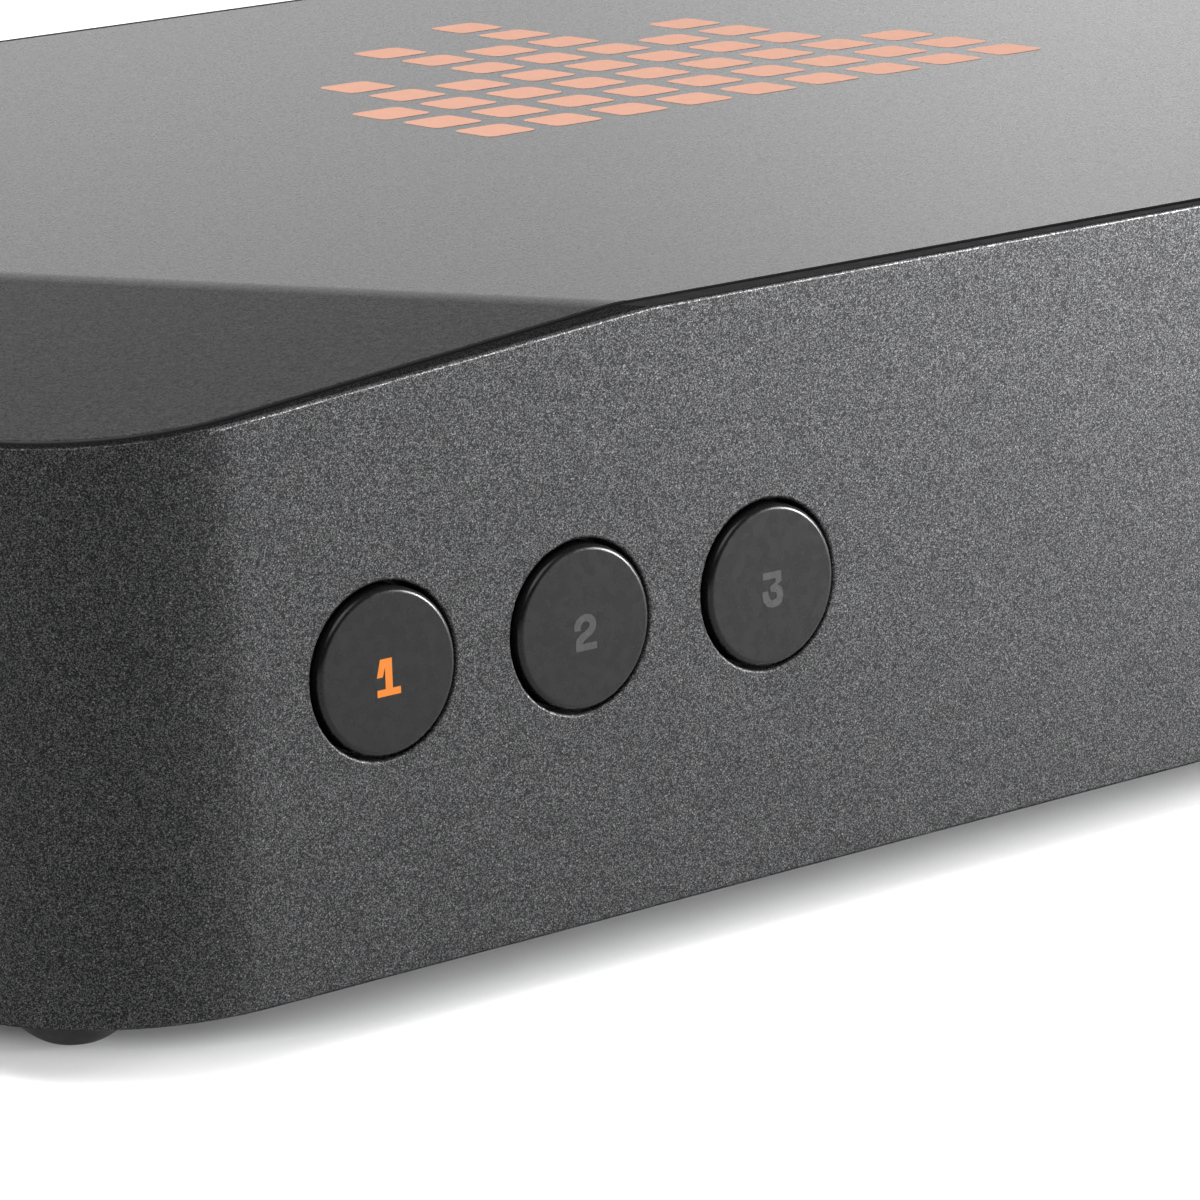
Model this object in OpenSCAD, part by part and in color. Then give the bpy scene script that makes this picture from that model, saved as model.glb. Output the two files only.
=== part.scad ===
// Room correction processor: a low desktop box with three lit preset buttons on its front
// and audio, data and power sockets on a recessed rear panel.
// The front faces -Y, X runs to the right seen from the front, Z is up, and the origin lies
// on the table under the middle of the box.

/* [Body] */
// Width of the body
body_w = 226; // [220:1:260]
// Depth of the body, front face to rear edge
body_d = 137; // [130:1:170]
// Height of the wall, lower edge to flat top
body_h = 40; // [39:0.5:48]
// Radius of the upright corners
corner_r = 15; // [12:0.5:18]
// Thickness of the front and side walls
wall_t = 2; // [1.6:0.1:2.6]
// Thickness of the rear wall, which sets how deep the rear panel lies
rear_wall_t = 4; // [3.8:0.1:5]
// Length of each corner facet along the front edge
facet_front = 48; // [40:1:60]
// Length of each corner facet along the side edge
facet_side = 92; // [70:1:110]
// How far a facet falls at the corner
facet_drop = 3.5; // [1:0.1:4.2]

/* [Top panel] */
// Thickness of the top panel
panel_t = 2; // [1.5:0.1:2.5]
// How far the panel stands above the rim of the body
panel_proud = 0.1; // [0:0.05:0.4]
// Gap between the panel and the rim
panel_gap = 0.2; // [0.1:0.05:0.5]
// Width of the rim round the panel
rim_w = 1.1; // [0.8:0.1:1.5]
// Extra width of the front rim where a crease meets it
rim_swell = 1.3; // [0.5:0.1:1.8]
// Width of the ledge that carries the panel, from the wall inwards
ledge_w = 3.2; // [2.6:0.1:4]
// Thickness of that ledge
ledge_t = 2; // [1.5:0.1:2.2]
// Height of the ribs under the panel
rib_h = 3; // [2:0.5:4]
// Thickness of the ribs under the panel
rib_t = 1.5; // [1:0.1:2]

/* [Base] */
// Thickness of the base plate
base_t = 1.5; // [1.2:0.1:2]
// How far the base plate shows below the wall
base_proud = 0.7; // [0.2:0.1:1]
// Gap between the base plate and the wall
base_gap = 0.3; // [0.1:0.05:0.5]
// Thickness of the lip that rests on the base plate
lip_t = 2; // [1.5:0.1:2.5]
// Width of that lip, from the wall inwards
lip_w = 3; // [2:0.1:4]
// Diameter of a foot where it meets the base plate
foot_d = 9.5; // [8:0.5:12]
// Diameter of the flat tip of a foot
foot_tip_d = 4; // [3:0.5:6]
// Height of a foot
foot_h = 3.3; // [2.5:0.1:5]
// Distance from the side of the body to the feet
foot_inset_x = 10.5; // [10:0.5:14]
// Distance from the front or rear of the body to the feet
foot_inset_y = 15; // [13:0.5:20]
// Distance from the side of the body to the pillars that tie the panel to the base
pillar_inset_x = 12; // [11:0.5:14]
// Distance from the front or rear of the body to the pillars
pillar_inset_y = 35; // [30:1:45]
// Width of a six-sided pillar across its corners
pillar_d = 7; // [6:0.5:8]

/* [Buttons] */
// Diameter of a button cap
button_d = 10.9; // [9:0.1:12]
// Gap between a cap and its hole
button_gap = 0.3; // [0.2:0.05:0.5]
// How far a cap stands out of the front face
button_proud = 0.45; // [0.2:0.05:1]
// Radius of the cap's front edge
button_round = 0.4; // [0.2:0.05:0.6]
// Travel of a button
button_travel = 0.5; // [0.3:0.05:0.7]
// Distance between buttons
button_pitch = 16; // [15:0.5:20]
// Distance from the side of the body to the first button
button_inset = 25.2; // [25:0.1:34]

/* [Rear panel] */
// Thickness of the rear panel
rear_t = 1.5; // [1:0.1:2]
// Distance from the end of a rounded corner to the rear window
window_margin = 3; // [2:0.5:4]
// Distance from the top or bottom of the wall to the rear window
window_inset_z = 5; // [4.5:0.1:5.4]
// Diameter of the round nose of an audio socket
nose_d = 23.6; // [22.8:0.1:24]
// Distance between paired audio sockets
socket_pitch = 30; // [28:0.5:32]
// Inside diameter of an input socket
input_bore_d = 19.4; // [19:0.1:20]
// Inside diameter of an output socket
output_bore_d = 16.2; // [15.8:0.1:16.6]
// Travel of an input latch
latch_travel = 2; // [1:0.1:2.4]
// Angle between the two positions of the power rocker
rocker_throw = 18; // [12:1:20]

/* [Boards] */
// Thickness of the circuit boards
board_t = 1.6; // [1:0.1:2]
// Distance from the front face to the main board
board_setback = 24; // [23:1:30]
// Height of an audio socket's axis above the main board
socket_rise = 14; // [13.5:0.1:14.5]

/* [Hidden] */
$fn = 64;
// How far a cutting tool runs past the face that it cuts
skin = 0.5;
// Gap between pieces that are pushed or screwed together
fit = 0.05;
// Gap round pieces that slide in one another
slide_gap = 0.2;
// Gap between pieces that must not touch
slack = 0.3;

// Levels, from the table up
base_z0 = foot_h;
base_z1 = base_z0 + base_t;
wall_z0 = base_z0 + base_proud;
wall_z1 = wall_z0 + body_h;
lip_z1 = base_z1 + lip_t;
pocket_depth = panel_t - panel_proud;
roof_drop = pocket_depth + ledge_t;
middle_z = (wall_z0 + wall_z1) / 2;

// Front and rear planes, placed so that the whole object is centred on the origin
front_y = (button_proud - body_d) / 2;
rear_y = front_y + body_d;
reach = 2 * (body_w + body_d);

// Corner facets
facet_slope_x = facet_drop / facet_front;
facet_slope_y = facet_drop / facet_side;
facet_tilt = atan(norm([facet_slope_x, facet_slope_y]));

// Inner corners of the body: the rear ones are tighter, to leave the rear panel flat
rear_tuck = 5;
inner_r = corner_r - wall_t;
inner_rear_r = corner_r - rear_tuck;

// Ribs and bosses under the top panel, and the pillars that stand between panel and base
rib_count_x = 5;
rib_count_y = 2;
rib_margin_x = 24;
rib_margin_front = 16;
rib_margin_rear = 32;
boss_l = 6;
boss_wall = 0.5;
boss_d = pillar_d + 2 * boss_wall;
pillar_spots = [for (side = [-1, 1], y = [front_y + pillar_inset_y, rear_y - pillar_inset_y])
    [side * (body_w / 2 - pillar_inset_x), y]];
pillar_z1 = wall_z1 - facet_drop - pocket_depth - boss_l / 2;
pillar_bore_r = 1.45;
pillar_stud_r = 1.4;
pillar_stud_l = 3;
base_screw_r = pillar_bore_r - fit;
base_screw_l = 10;
base_screw_end = 1;
base_head_r = 2.7;
base_head_h = 1.2;
screw_room = 0.2;

// Buttons: distances inwards from the front face
button_x = [for (i = [0:2]) -body_w / 2 + button_inset + i * button_pitch];
cap_r = button_d / 2;
hole_r = cap_r + button_gap;
cap_face_t = 1.35;
cap_stop_gap = 0.15;
cap_flange_t = 1.4;
cap_flange_w = 0.85;
cap_wall = 1.15;
cap_flange_y0 = wall_t + cap_stop_gap;
cap_flange_y1 = cap_flange_y0 + cap_flange_t;
cap_flange_r = cap_r + cap_flange_w;
cap_bore_r = cap_r - cap_wall;
cap_bore_y0 = cap_face_t - button_proud;
stem_r = 1.6;
stem_l = 1.45;
over_travel = 0.4;
plunger_y0 = cap_flange_y1 + stem_l;
plunger_r = 1.75;
plunger_in = 1.3;
tact_y0 = plunger_y0 + button_travel + over_travel;
tact_w = 6;
tact_t = 3.4;
tact_bore_r = plunger_r + slide_gap / 2;
tact_bore_depth = plunger_in + button_travel + over_travel;
button_board_y0 = tact_y0 + tact_t;
button_board_y1 = button_board_y0 + board_t;
guide_y1 = cap_flange_y1 + button_travel + over_travel;
guide_hole_r = cap_flange_r + slide_gap;
guide_margin = 9.5;
guide_x0 = max(button_x[0] - guide_margin, slack + corner_r - body_w / 2);
guide_x1 = button_x[2] + guide_margin;
guide_inset_z = 7;
guide_h = body_h - 2 * guide_inset_z;
guide_post_r = 1.2;
guide_post_edge = 1.3;
guide_post_z = guide_h / 2 - guide_post_r - guide_post_edge;
button_board_inset = 1;
button_board_h = guide_h - 2 * button_board_inset;
board_boss_r = 2.5;
board_boss_edge = 1;
board_boss_z = guide_h / 2 - board_boss_r - board_boss_edge;
board_boss_bore_r = 1.1;
board_boss_x = [for (i = [0:1]) (button_x[i] + button_x[i + 1]) / 2];
board_screw_grip = 4;
led_size = [1.6, 1, 1.6];
led_offset = 4.4;
led_rise = 2.2;

// Rear panel
rear_face_y = rear_y - rear_wall_t;
rear_inner_y = rear_face_y - rear_t;
window_w = body_w - 2 * (corner_r + window_margin);
window_r = 3;
rear_plate_w = body_w - 2 * (wall_t + inner_rear_r + slack);
rear_plate_z0 = lip_z1 + slide_gap;
rear_plate_z1 = wall_z1 - roof_drop - slide_gap;
rear_screw_r = 1.05;
rear_screw_cover = 1.5;
rear_screw_l = rear_t + rear_wall_t - rear_screw_cover;
rear_screw_x = (window_w + rear_plate_w) / 4;
rear_screw_pitch = 16;
rear_screw_z = [for (s = [-1, 1]) middle_z + s * rear_screw_pitch / 2];

// Audio sockets: distances outwards from the rear panel's outer face
nose_r = nose_d / 2;
nose_proud = 1.2;
nose_hole_r = nose_r + slide_gap;
mouth_flare = 0.5;
flange_w = 26;
flange_h = 31;
flange_t = 2.2;
block_w = 24;
block_h = 14;
block_depth = 18;
socket_depth = 12;
insert_r = 7.6;
insert_sunk = 1;
insert_y1 = nose_proud - insert_sunk;
insert_key_w = 2;
insert_key_depth = 1;
contact_bore_r = 1.25;
contact_wall = 0.3;
contact_r = contact_bore_r + contact_wall;
contact_hole_r = contact_r + fit;
contact_hole_depth = 11;
contact_l = 9;
contact_floor = 1;
pin_r = 1.2;
pin_sunk = 1.5;
pin_y1 = nose_proud - pin_sunk;
pin_spots = [[-3.8, 1.2], [3.8, 1.2], [0, -4]];
socket_screw_spots = [[9.5, 12], [-9.5, -12]];
socket_screw_bore_r = 1.2;
socket_screw_grip = 4;
pan_head_r = 2.4;
pan_head_h = 1.5;
latch_w = 6.4;
latch_t = 1.3;
latch_l = 8;
latch_edge = 0.6;
latch_z1 = nose_r - latch_edge;
latch_z0 = latch_z1 - latch_t;
latch_proud = 1.3;
latch_y1 = nose_proud + latch_proud;
latch_tooth_h = 1;
latch_tooth_l = 1.5;
latch_tooth_w = 3.2;
latch_slot_z0 = latch_z0 - latch_tooth_h - slack;
latch_slot_y0 = latch_y1 - latch_l - latch_travel - slack;

// Data socket, power inlet and power switch
usb_w = 9;
usb_h = 3.3;
usb_wall = 0.3;
usb_l = 7.4;
usb_proud = 0.2;
usb_back_t = 1;
usb_tongue_w = 6.7;
usb_tongue_t = 0.7;
usb_tongue_short = 0.8;
dc_block = [9, 14, 11];
dc_rise = 6.5;
dc_proud = 0.2;
dc_nose_r = 3.9;
dc_bore_r = 3.15;
dc_bore_depth = 9.5;
dc_pin_r = 1;
dc_pin_short = 1;
rocker_r = 5.3;
rocker_w = 6.2;
rocker_gap = 0.2;
rocker_depth = 3.4;
rocker_pivot_r = 1;
bezel_t = 1.5;
bezel_lip = 1.2;
pivot_y = -0.2;
rocker_low = bezel_t - pivot_y;
switch_wall = 0.9;
switch_depth = 12;
pivot_cover = 0.25;
pivot_l = rocker_w + 2 * (rocker_gap + switch_wall - pivot_cover);
terminal_w = 2;
terminal_t = 0.8;
terminal_out = 3;
terminal_z = [-3.5, 0];

// Places along the rear window: each fitting keeps its width, and equal gaps share the rest
socket_pair_w = flange_w + socket_pitch;
switch_w = rocker_w + 2 * (rocker_gap + switch_wall + bezel_lip);
fitting_gap = (window_w - 2 * socket_pair_w - usb_w - dc_block.x - switch_w) / 6;
input_x = [for (i = [0:1]) fitting_gap + (flange_w - window_w) / 2 + i * socket_pitch];
output_x = [for (x = input_x) x + socket_pair_w + fitting_gap];
usb_x = output_x[1] + (flange_w + usb_w) / 2 + fitting_gap;
dc_x = usb_x + (usb_w + dc_block.x) / 2 + fitting_gap;
rocker_x = dc_x + (dc_block.x + switch_w) / 2 + fitting_gap;

// Main board
socket_z = middle_z;
board_z1 = socket_z - socket_rise;
board_z0 = board_z1 - board_t;
usb_z = board_z1 + usb_h / 2;
dc_z = board_z1 + dc_rise;
board_y0 = front_y + board_setback;
board_y1 = rear_inner_y - flange_t - slack;
board_side_gap = 4.5;
board_w = body_w - 2 * (pillar_inset_x + pillar_d / 2 + board_side_gap);
standoff_d = 6;
standoff_bore_r = 1.25;
standoff_edge = 6;
standoff_rear = 30;
standoff_to_usb = 11;
standoff_x = [standoff_edge - board_w / 2, usb_x - standoff_to_usb, board_w / 2 - standoff_edge];
standoff_y = [board_y0 + standoff_edge, board_y1 - standoff_rear];
standoff_spots = [for (x = standoff_x, y = standoff_y) [x, y]];
standoff_floor = 0.5;
board_screw_floor = 1;
ribbon_w = 10;
ribbon_t = 0.3;
ribbon_socket_w = 13;
ribbon_socket_d = 5;
ribbon_socket_h = 2.4;
ribbon_lower = 3;
ribbon_z1 = middle_z - ribbon_lower;
ribbon_z0 = board_z1 + ribbon_socket_h / 2;
ribbon_y0 = front_y + button_board_y1 + ribbon_socket_h;
ribbon_edge = 2;
ribbon_y1 = board_y0 + ribbon_edge;
ribbon_bend_r = (ribbon_z1 - ribbon_z0) / 2;
ribbon_mid_y = (ribbon_y0 + ribbon_y1) / 2;
ribbon_mid_z = (ribbon_z0 + ribbon_z1) / 2;
signal_chip_size = [16, 16, 1.6];
converter_size = [8, 8, 1.2];
relay_size = [15, 7.5, 10];
inductor_size = [12, 12, 6];
capacitor_d = 8;
capacitor_h = 11.5;
capacitor_pitch = 12;
relay_row = 33;
converter_row = 46;
inductor_row = 76;
signal_row = 42;

// Shared shapes

// A block from one corner to the other
module span(low, high) {
    translate(low) cube(high - low);
}

// A cylinder that runs along +Y from one distance to another
module along_y(r, y0, y1) {
    translate([0, y0, 0]) rotate([-90, 0, 0]) cylinder(r = r, h = y1 - y0);
}

// The body's outline set in from its sides, front and rear, between two levels
module plan_block(side, front, rear, r_front, r_rear, z0, z1) {
    x = body_w / 2 - side;
    y0 = front_y + front;
    y1 = rear_y - rear;
    span([-x, y0 + r_front, z0], [x, y1 - r_rear, z1]);
    span([r_front - x, y0, z0], [x - r_front, y1 - r_rear, z1]);
    span([r_rear - x, y0 + r_front, z0], [x - r_rear, y1, z1]);
    for (s = [-1, 1]) {
        translate([s * (x - r_front), y0 + r_front, z0]) cylinder(r = r_front, h = z1 - z0);
        translate([s * (x - r_rear), y1 - r_rear, z0]) cylinder(r = r_rear, h = z1 - z0);
    }
}

// The inside of the walls between two levels, drawn in further by an inset
module inner_block(inset, z0, z1) {
    plan_block(wall_t + inset, wall_t + inset, rear_wall_t + inset,
        inner_r - inset, inner_rear_r - min(inset, inner_rear_r / 2), z0, z1);
}

// The outline of the top panel's seat, drawn in by a gap: the front rim swells at each crease
module panel_block(gap, z0, z1) {
    inset = rim_w + gap;
    y0 = front_y + inset;
    x_end = body_w / 2 - corner_r;
    x_crease = body_w / 2 - facet_front;
    difference() {
        plan_block(inset, inset, inset, corner_r - inset, corner_r - inset, z0, z1);
        translate([0, y0, z0 - skin]) linear_extrude(z1 - z0 + 2 * skin) for (s = [-1, 1])
            polygon([[s * x_end, 0], [s * x_end, -skin], [0, -skin], [0, 0], [s * x_crease, rim_swell]]);
    }
}

// Everything below the faceted top, lowered by a drop
module below_top(drop) {
    difference() {
        translate([-reach / 2, -reach / 2, wall_z1 - drop - reach]) cube(reach);
        for (s = [-1, 1])
            translate([s * (body_w / 2 - facet_front), front_y, wall_z1 - drop])
                rotate([0, facet_tilt, atan2(-facet_slope_y, s * facet_slope_x)])
                    translate([-reach, -reach, 0]) cube([2 * reach, 2 * reach, reach]);
    }
}

// Places children on the front face, or on the rear panel's outer face
module at_front(x, z = middle_z) translate([x, front_y, z]) children();
module at_rear(x, z = socket_z) translate([x, rear_face_y, z]) children();

// A screw whose round head stands from zero to +Y and whose shank runs to -Y
module pan_screw(r, l) {
    along_y(r, -l, 0);
    along_y(pan_head_r, 0, pan_head_h);
}

// A bar along Y with half-round ends
module slot_bar(w, h, y0, y1) {
    span([(h - w) / 2, y0, -h / 2], [(w - h) / 2, y1, h / 2]);
    for (s = [-1, 1]) translate([s * (w - h) / 2, 0, 0]) along_y(h / 2, y0, y1);
}

// Casing

module body_shell() color("#4a4a4c") {
    difference() {
        intersection() {
            plan_block(0, 0, 0, corner_r, corner_r, wall_z0, wall_z1);
            below_top(0);
        }
        // Openings inside the ledge and inside the lip
        inner_block(ledge_w, lip_z1, wall_z1 + skin);
        inner_block(lip_w, base_z1 - skin, lip_z1 + skin);
        // Room between the lip and the ledge
        intersection() {
            inner_block(0, lip_z1, wall_z1);
            below_top(roof_drop);
        }
        // Seat for the top panel
        difference() {
            panel_block(0, wall_z0, wall_z1 + skin);
            below_top(pocket_depth);
        }
        // Seat for the base plate
        inner_block(0, wall_z0 - skin, base_z1);
        rear_window();
        rear_room();
        for (x = button_x) at_front(x) along_y(hole_r, -skin, wall_t + skin);
        for (s = [-1, 1], z = rear_screw_z) translate([s * rear_screw_x, rear_inner_y, z])
            along_y(rear_screw_r + fit, 0, rear_screw_l + slack);
    }
    for (x = board_boss_x, s = [-1, 1]) at_front(x, middle_z + s * board_boss_z) difference() {
        along_y(board_boss_r, wall_t - skin, button_board_y0);
        along_y(board_boss_bore_r, button_board_y0 - board_screw_grip - skin, button_board_y0 + skin);
    }
}

module rear_window() {
    x = window_w / 2;
    y0 = rear_face_y - skin;
    y1 = rear_y + skin;
    z0 = wall_z0 + window_inset_z;
    z1 = wall_z1 - window_inset_z;
    span([-x, y0, z0 + window_r], [x, y1, z1 - window_r]);
    span([window_r - x, y0, z0], [x - window_r, y1, z1]);
    for (s = [-1, 1], z = [z0 + window_r, z1 - window_r])
        translate([s * (x - window_r), 0, z]) along_y(window_r, y0, y1);
}

// Room that the rear frame leaves round the sockets, their screws and the switch
module rear_room() {
    for (x = concat(input_x, output_x)) at_rear(x) {
        along_y(nose_r + slack, 0, rear_wall_t + skin);
        span([-flange_w / 2 - slack, -rear_t - flange_t - slack, -flange_h / 2 - slack],
            [flange_w / 2 + slack, -rear_t, flange_h / 2 + slack]);
        for (p = socket_screw_spots) translate([p.x, 0, p.y])
            along_y(pan_head_r + slack, 0, rear_wall_t + skin);
    }
    at_rear(usb_x, usb_z) slot_bar(usb_w + 2 * slack, usb_h + 2 * slack, 0, rear_wall_t + skin);
    at_rear(dc_x, dc_z) along_y(dc_nose_r + slack, 0, rear_wall_t + skin);
    at_rear(rocker_x) switch_box(bezel_lip + slack, 0, rear_wall_t + skin);
}

module top_panel() color("#3c3c3e") {
    difference() {
        intersection() {
            panel_block(panel_gap, wall_z0, wall_z1 + panel_proud);
            below_top(-panel_proud);
        }
        below_top(pocket_depth);
    }
    difference() {
        intersection() {
            panel_ribs();
            below_top(panel_t / 2);
        }
        below_top(pocket_depth + rib_h);
    }
    difference() {
        intersection() {
            for (p = pillar_spots) translate([p.x, p.y, pillar_z1]) cylinder(d = boss_d, h = body_h);
            below_top(panel_t / 2);
        }
        for (p = pillar_spots)
            translate([p.x, p.y, pillar_z1 - skin]) cylinder(r = pillar_bore_r, h = pillar_stud_l + 2 * skin);
    }
}

// A grid of ribs that stops short of the sockets and the button board
module panel_ribs() {
    x = body_w / 2 - rib_margin_x;
    y0 = front_y + rib_margin_front;
    y1 = rear_y - rib_margin_rear;
    for (i = [0:rib_count_x - 1])
        translate([-x + 2 * x * i / (rib_count_x - 1) - rib_t / 2, y0, wall_z0])
            cube([rib_t, y1 - y0, body_h]);
    for (i = [0:rib_count_y - 1])
        translate([-x, y0 + (y1 - y0) * (i + 0.5) / rib_count_y - rib_t / 2, wall_z0])
            cube([2 * x, rib_t, body_h]);
}

module lid_pillars() color("#b9a866")
    for (p = pillar_spots) translate([p.x, p.y, base_z1]) {
        difference() {
            cylinder(d = pillar_d, h = pillar_z1 - base_z1, $fn = 6);
            translate([0, 0, -skin]) cylinder(r = pillar_bore_r, h = base_screw_l + skin);
        }
        translate([0, 0, pillar_z1 - base_z1]) cylinder(r = pillar_stud_r, h = pillar_stud_l);
    }

module base_plate() color("#2b2b2d") difference() {
    inner_block(base_gap, base_z0, base_z1);
    for (p = pillar_spots) translate([p.x, p.y, base_z0]) {
        translate([0, 0, -skin]) cylinder(r = base_screw_r + screw_room, h = base_t + 2 * skin);
        cylinder(r1 = base_head_r + screw_room, r2 = base_screw_r + screw_room, h = base_head_h);
    }
}

module base_screws() color("#1f1f20")
    for (p = pillar_spots) translate([p.x, p.y, base_z0]) {
        cylinder(r1 = base_head_r, r2 = base_screw_r, h = base_head_h);
        cylinder(r = base_screw_r, h = base_t + base_screw_l - base_screw_end);
    }

// A domed foot: a slice of a ball, flat where it stands and where it is stuck on
module foot(x_side, y_side) color("#161616") {
    tip_r = foot_tip_d / 2;
    centre_z = (pow(foot_d / 2, 2) + pow(foot_h, 2) - pow(tip_r, 2)) / (2 * foot_h);
    ball_r = norm([tip_r, centre_z]);
    y = y_side < 0 ? front_y + foot_inset_y : rear_y - foot_inset_y;
    translate([x_side * (body_w / 2 - foot_inset_x), y, 0]) intersection() {
        translate([0, 0, centre_z]) sphere(r = ball_r);
        translate([0, 0, foot_h / 2]) cube([2 * ball_r, 2 * ball_r, foot_h], center = true);
    }
}

module foot_front_left() foot(-1, -1);
module foot_front_right() foot(1, -1);
module foot_rear_left() foot(-1, 1);
module foot_rear_right() foot(1, 1);

// Buttons: a cap turned round its axis, its light guide, and the switch behind it

module button_cap(i) color("#222224") at_front(button_x[i]) rotate([-90, 0, 0]) rotate_extrude()
    polygon(concat(
        [[0, -button_proud]],
        [for (a = [0:15:90])
            [cap_r - button_round * (1 - sin(a)), button_round * (1 - cos(a)) - button_proud]],
        [[cap_r, cap_flange_y0], [cap_flange_r, cap_flange_y0], [cap_flange_r, cap_flange_y1]],
        [[cap_bore_r, cap_flange_y1], [cap_bore_r, cap_bore_y0], [0, cap_bore_y0]]));

module light_guide(i) color("#e8e4da") at_front(button_x[i]) {
    along_y(cap_bore_r - fit, cap_bore_y0, cap_flange_y1);
    along_y(stem_r, cap_flange_y1, plunger_y0);
}

module switch_plunger(i) color("#b8442c") at_front(button_x[i])
    along_y(plunger_r, plunger_y0, tact_y0 + plunger_in);

module tact_switch(i) color("#303032") at_front(button_x[i]) difference() {
    span([-tact_w / 2, tact_y0, -tact_w / 2], [tact_w / 2, button_board_y0, tact_w / 2]);
    along_y(tact_bore_r, tact_y0 - skin, tact_y0 + tact_bore_depth);
}

module button_guide() color("#1b1b1c") translate([0, front_y, middle_z]) {
    difference() {
        span([guide_x0, wall_t, -guide_h / 2], [guide_x1, guide_y1, guide_h / 2]);
        for (x = button_x) translate([x, 0, 0]) along_y(guide_hole_r, wall_t - skin, guide_y1 + skin);
        for (x = board_boss_x, s = [-1, 1])
            translate([x, 0, s * board_boss_z])
                along_y(board_boss_r + slide_gap, wall_t - skin, guide_y1 + skin);
    }
    for (x = button_x, s = [-1, 1])
        translate([x, 0, s * guide_post_z]) along_y(guide_post_r, guide_y1, button_board_y0);
}

module button_board() color("#1f4a2c") translate([0, front_y, middle_z]) difference() {
    span([guide_x0 + skin, button_board_y0, -button_board_h / 2],
        [guide_x1 - skin, button_board_y1, button_board_h / 2]);
    for (x = board_boss_x, s = [-1, 1]) translate([x, 0, s * board_boss_z])
        along_y(board_boss_bore_r + screw_room, button_board_y0 - skin, button_board_y1 + skin);
}

module button_board_screws() color("#9a9a9c")
    for (x = board_boss_x, s = [-1, 1]) at_front(x, middle_z + s * board_boss_z)
        translate([0, button_board_y1, 0]) pan_screw(board_boss_bore_r - fit, board_t + board_screw_grip);

module button_leds() color("#f2efe6")
    for (x = button_x, s = [-1, 1]) at_front(x + s * led_offset, middle_z + led_rise)
        span([-led_size.x / 2, button_board_y0 - led_size.y, -led_size.z / 2],
            [led_size.x / 2, button_board_y0, led_size.z / 2]);

// Ribbon between the two boards: two straights joined by two quarter bends

module ribbon_cable() color("#d9d6cc") translate([button_x[1] - ribbon_w / 2, 0, 0]) {
    half = ribbon_t / 2;
    span([0, ribbon_y0, ribbon_z1 - half], [ribbon_w, ribbon_mid_y - ribbon_bend_r, ribbon_z1 + half]);
    span([0, ribbon_mid_y + ribbon_bend_r, ribbon_z0 - half], [ribbon_w, ribbon_y1, ribbon_z0 + half]);
    ribbon_bend(-1, 1);
    ribbon_bend(1, -1);
}

module ribbon_bend(y_side, z_side) {
    room = ribbon_bend_r + ribbon_t;
    translate([0, ribbon_mid_y + y_side * ribbon_bend_r, ribbon_mid_z]) intersection() {
        rotate([0, 90, 0]) difference() {
            cylinder(r = ribbon_bend_r + ribbon_t / 2, h = ribbon_w);
            translate([0, 0, -skin]) cylinder(r = ribbon_bend_r - ribbon_t / 2, h = ribbon_w + 2 * skin);
        }
        translate([-skin, y_side < 0 ? 0 : -room, z_side > 0 ? 0 : -room])
            cube([ribbon_w + 2 * skin, room, room]);
    }
}

module ribbon_sockets() color("#ece8dc") translate([button_x[1] - ribbon_socket_w / 2, 0, 0]) {
    translate([0, front_y + button_board_y1, ribbon_z1 - ribbon_socket_d / 2])
        cube([ribbon_socket_w, ribbon_socket_h, ribbon_socket_d]);
    translate([0, ribbon_y1, board_z1]) cube([ribbon_socket_w, ribbon_socket_d, ribbon_socket_h]);
}

// Main board

module main_board() color("#1f4a2c") difference() {
    span([-board_w / 2, board_y0, board_z0], [board_w / 2, board_y1, board_z1]);
    for (p = standoff_spots) translate([p.x, p.y, board_z0 - skin])
        cylinder(r = standoff_bore_r + screw_room, h = board_t + 2 * skin);
}

module board_standoffs() color("#c2b280")
    for (p = standoff_spots) translate([p.x, p.y, base_z1]) difference() {
        cylinder(d = standoff_d, h = board_z0 - base_z1, $fn = 6);
        translate([0, 0, standoff_floor]) cylinder(r = standoff_bore_r, h = board_z0 - base_z1);
    }

module board_screws() color("#9a9a9c")
    for (p = standoff_spots) translate([p.x, p.y, 0]) {
        translate([0, 0, board_z1]) cylinder(r = pan_head_r, h = pan_head_h);
        translate([0, 0, base_z1 + board_screw_floor])
            cylinder(r = standoff_bore_r - fit, h = board_z1 - base_z1 - board_screw_floor);
    }

// A block that stands on the main board, given by its middle and size
module on_board(middle, size) {
    translate([middle.x - size.x / 2, middle.y - size.y / 2, board_z1]) cube(size);
}

module signal_chip() color("#151517") on_board([0, board_y0 + signal_row], signal_chip_size);

module converter_chips() color("#151517")
    for (x = concat(input_x, output_x)) on_board([x, board_y1 - converter_row], converter_size);

module bypass_relays() color("#e4dfd2")
    for (pair = [input_x, output_x])
        on_board([(pair[0] + pair[1]) / 2, board_y1 - relay_row], relay_size);

module filter_capacitors() color("#26303c")
    for (i = [-1:1], j = [0:1])
        translate([dc_x + i * capacitor_pitch, board_y1 - converter_row - j * capacitor_pitch, board_z1])
            cylinder(d = capacitor_d, h = capacitor_h);

module power_inductor() color("#3a3a3a") on_board([dc_x, board_y1 - inductor_row], inductor_size);

// Audio sockets: a nose through the panel, a flange behind it and a block on the board

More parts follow.
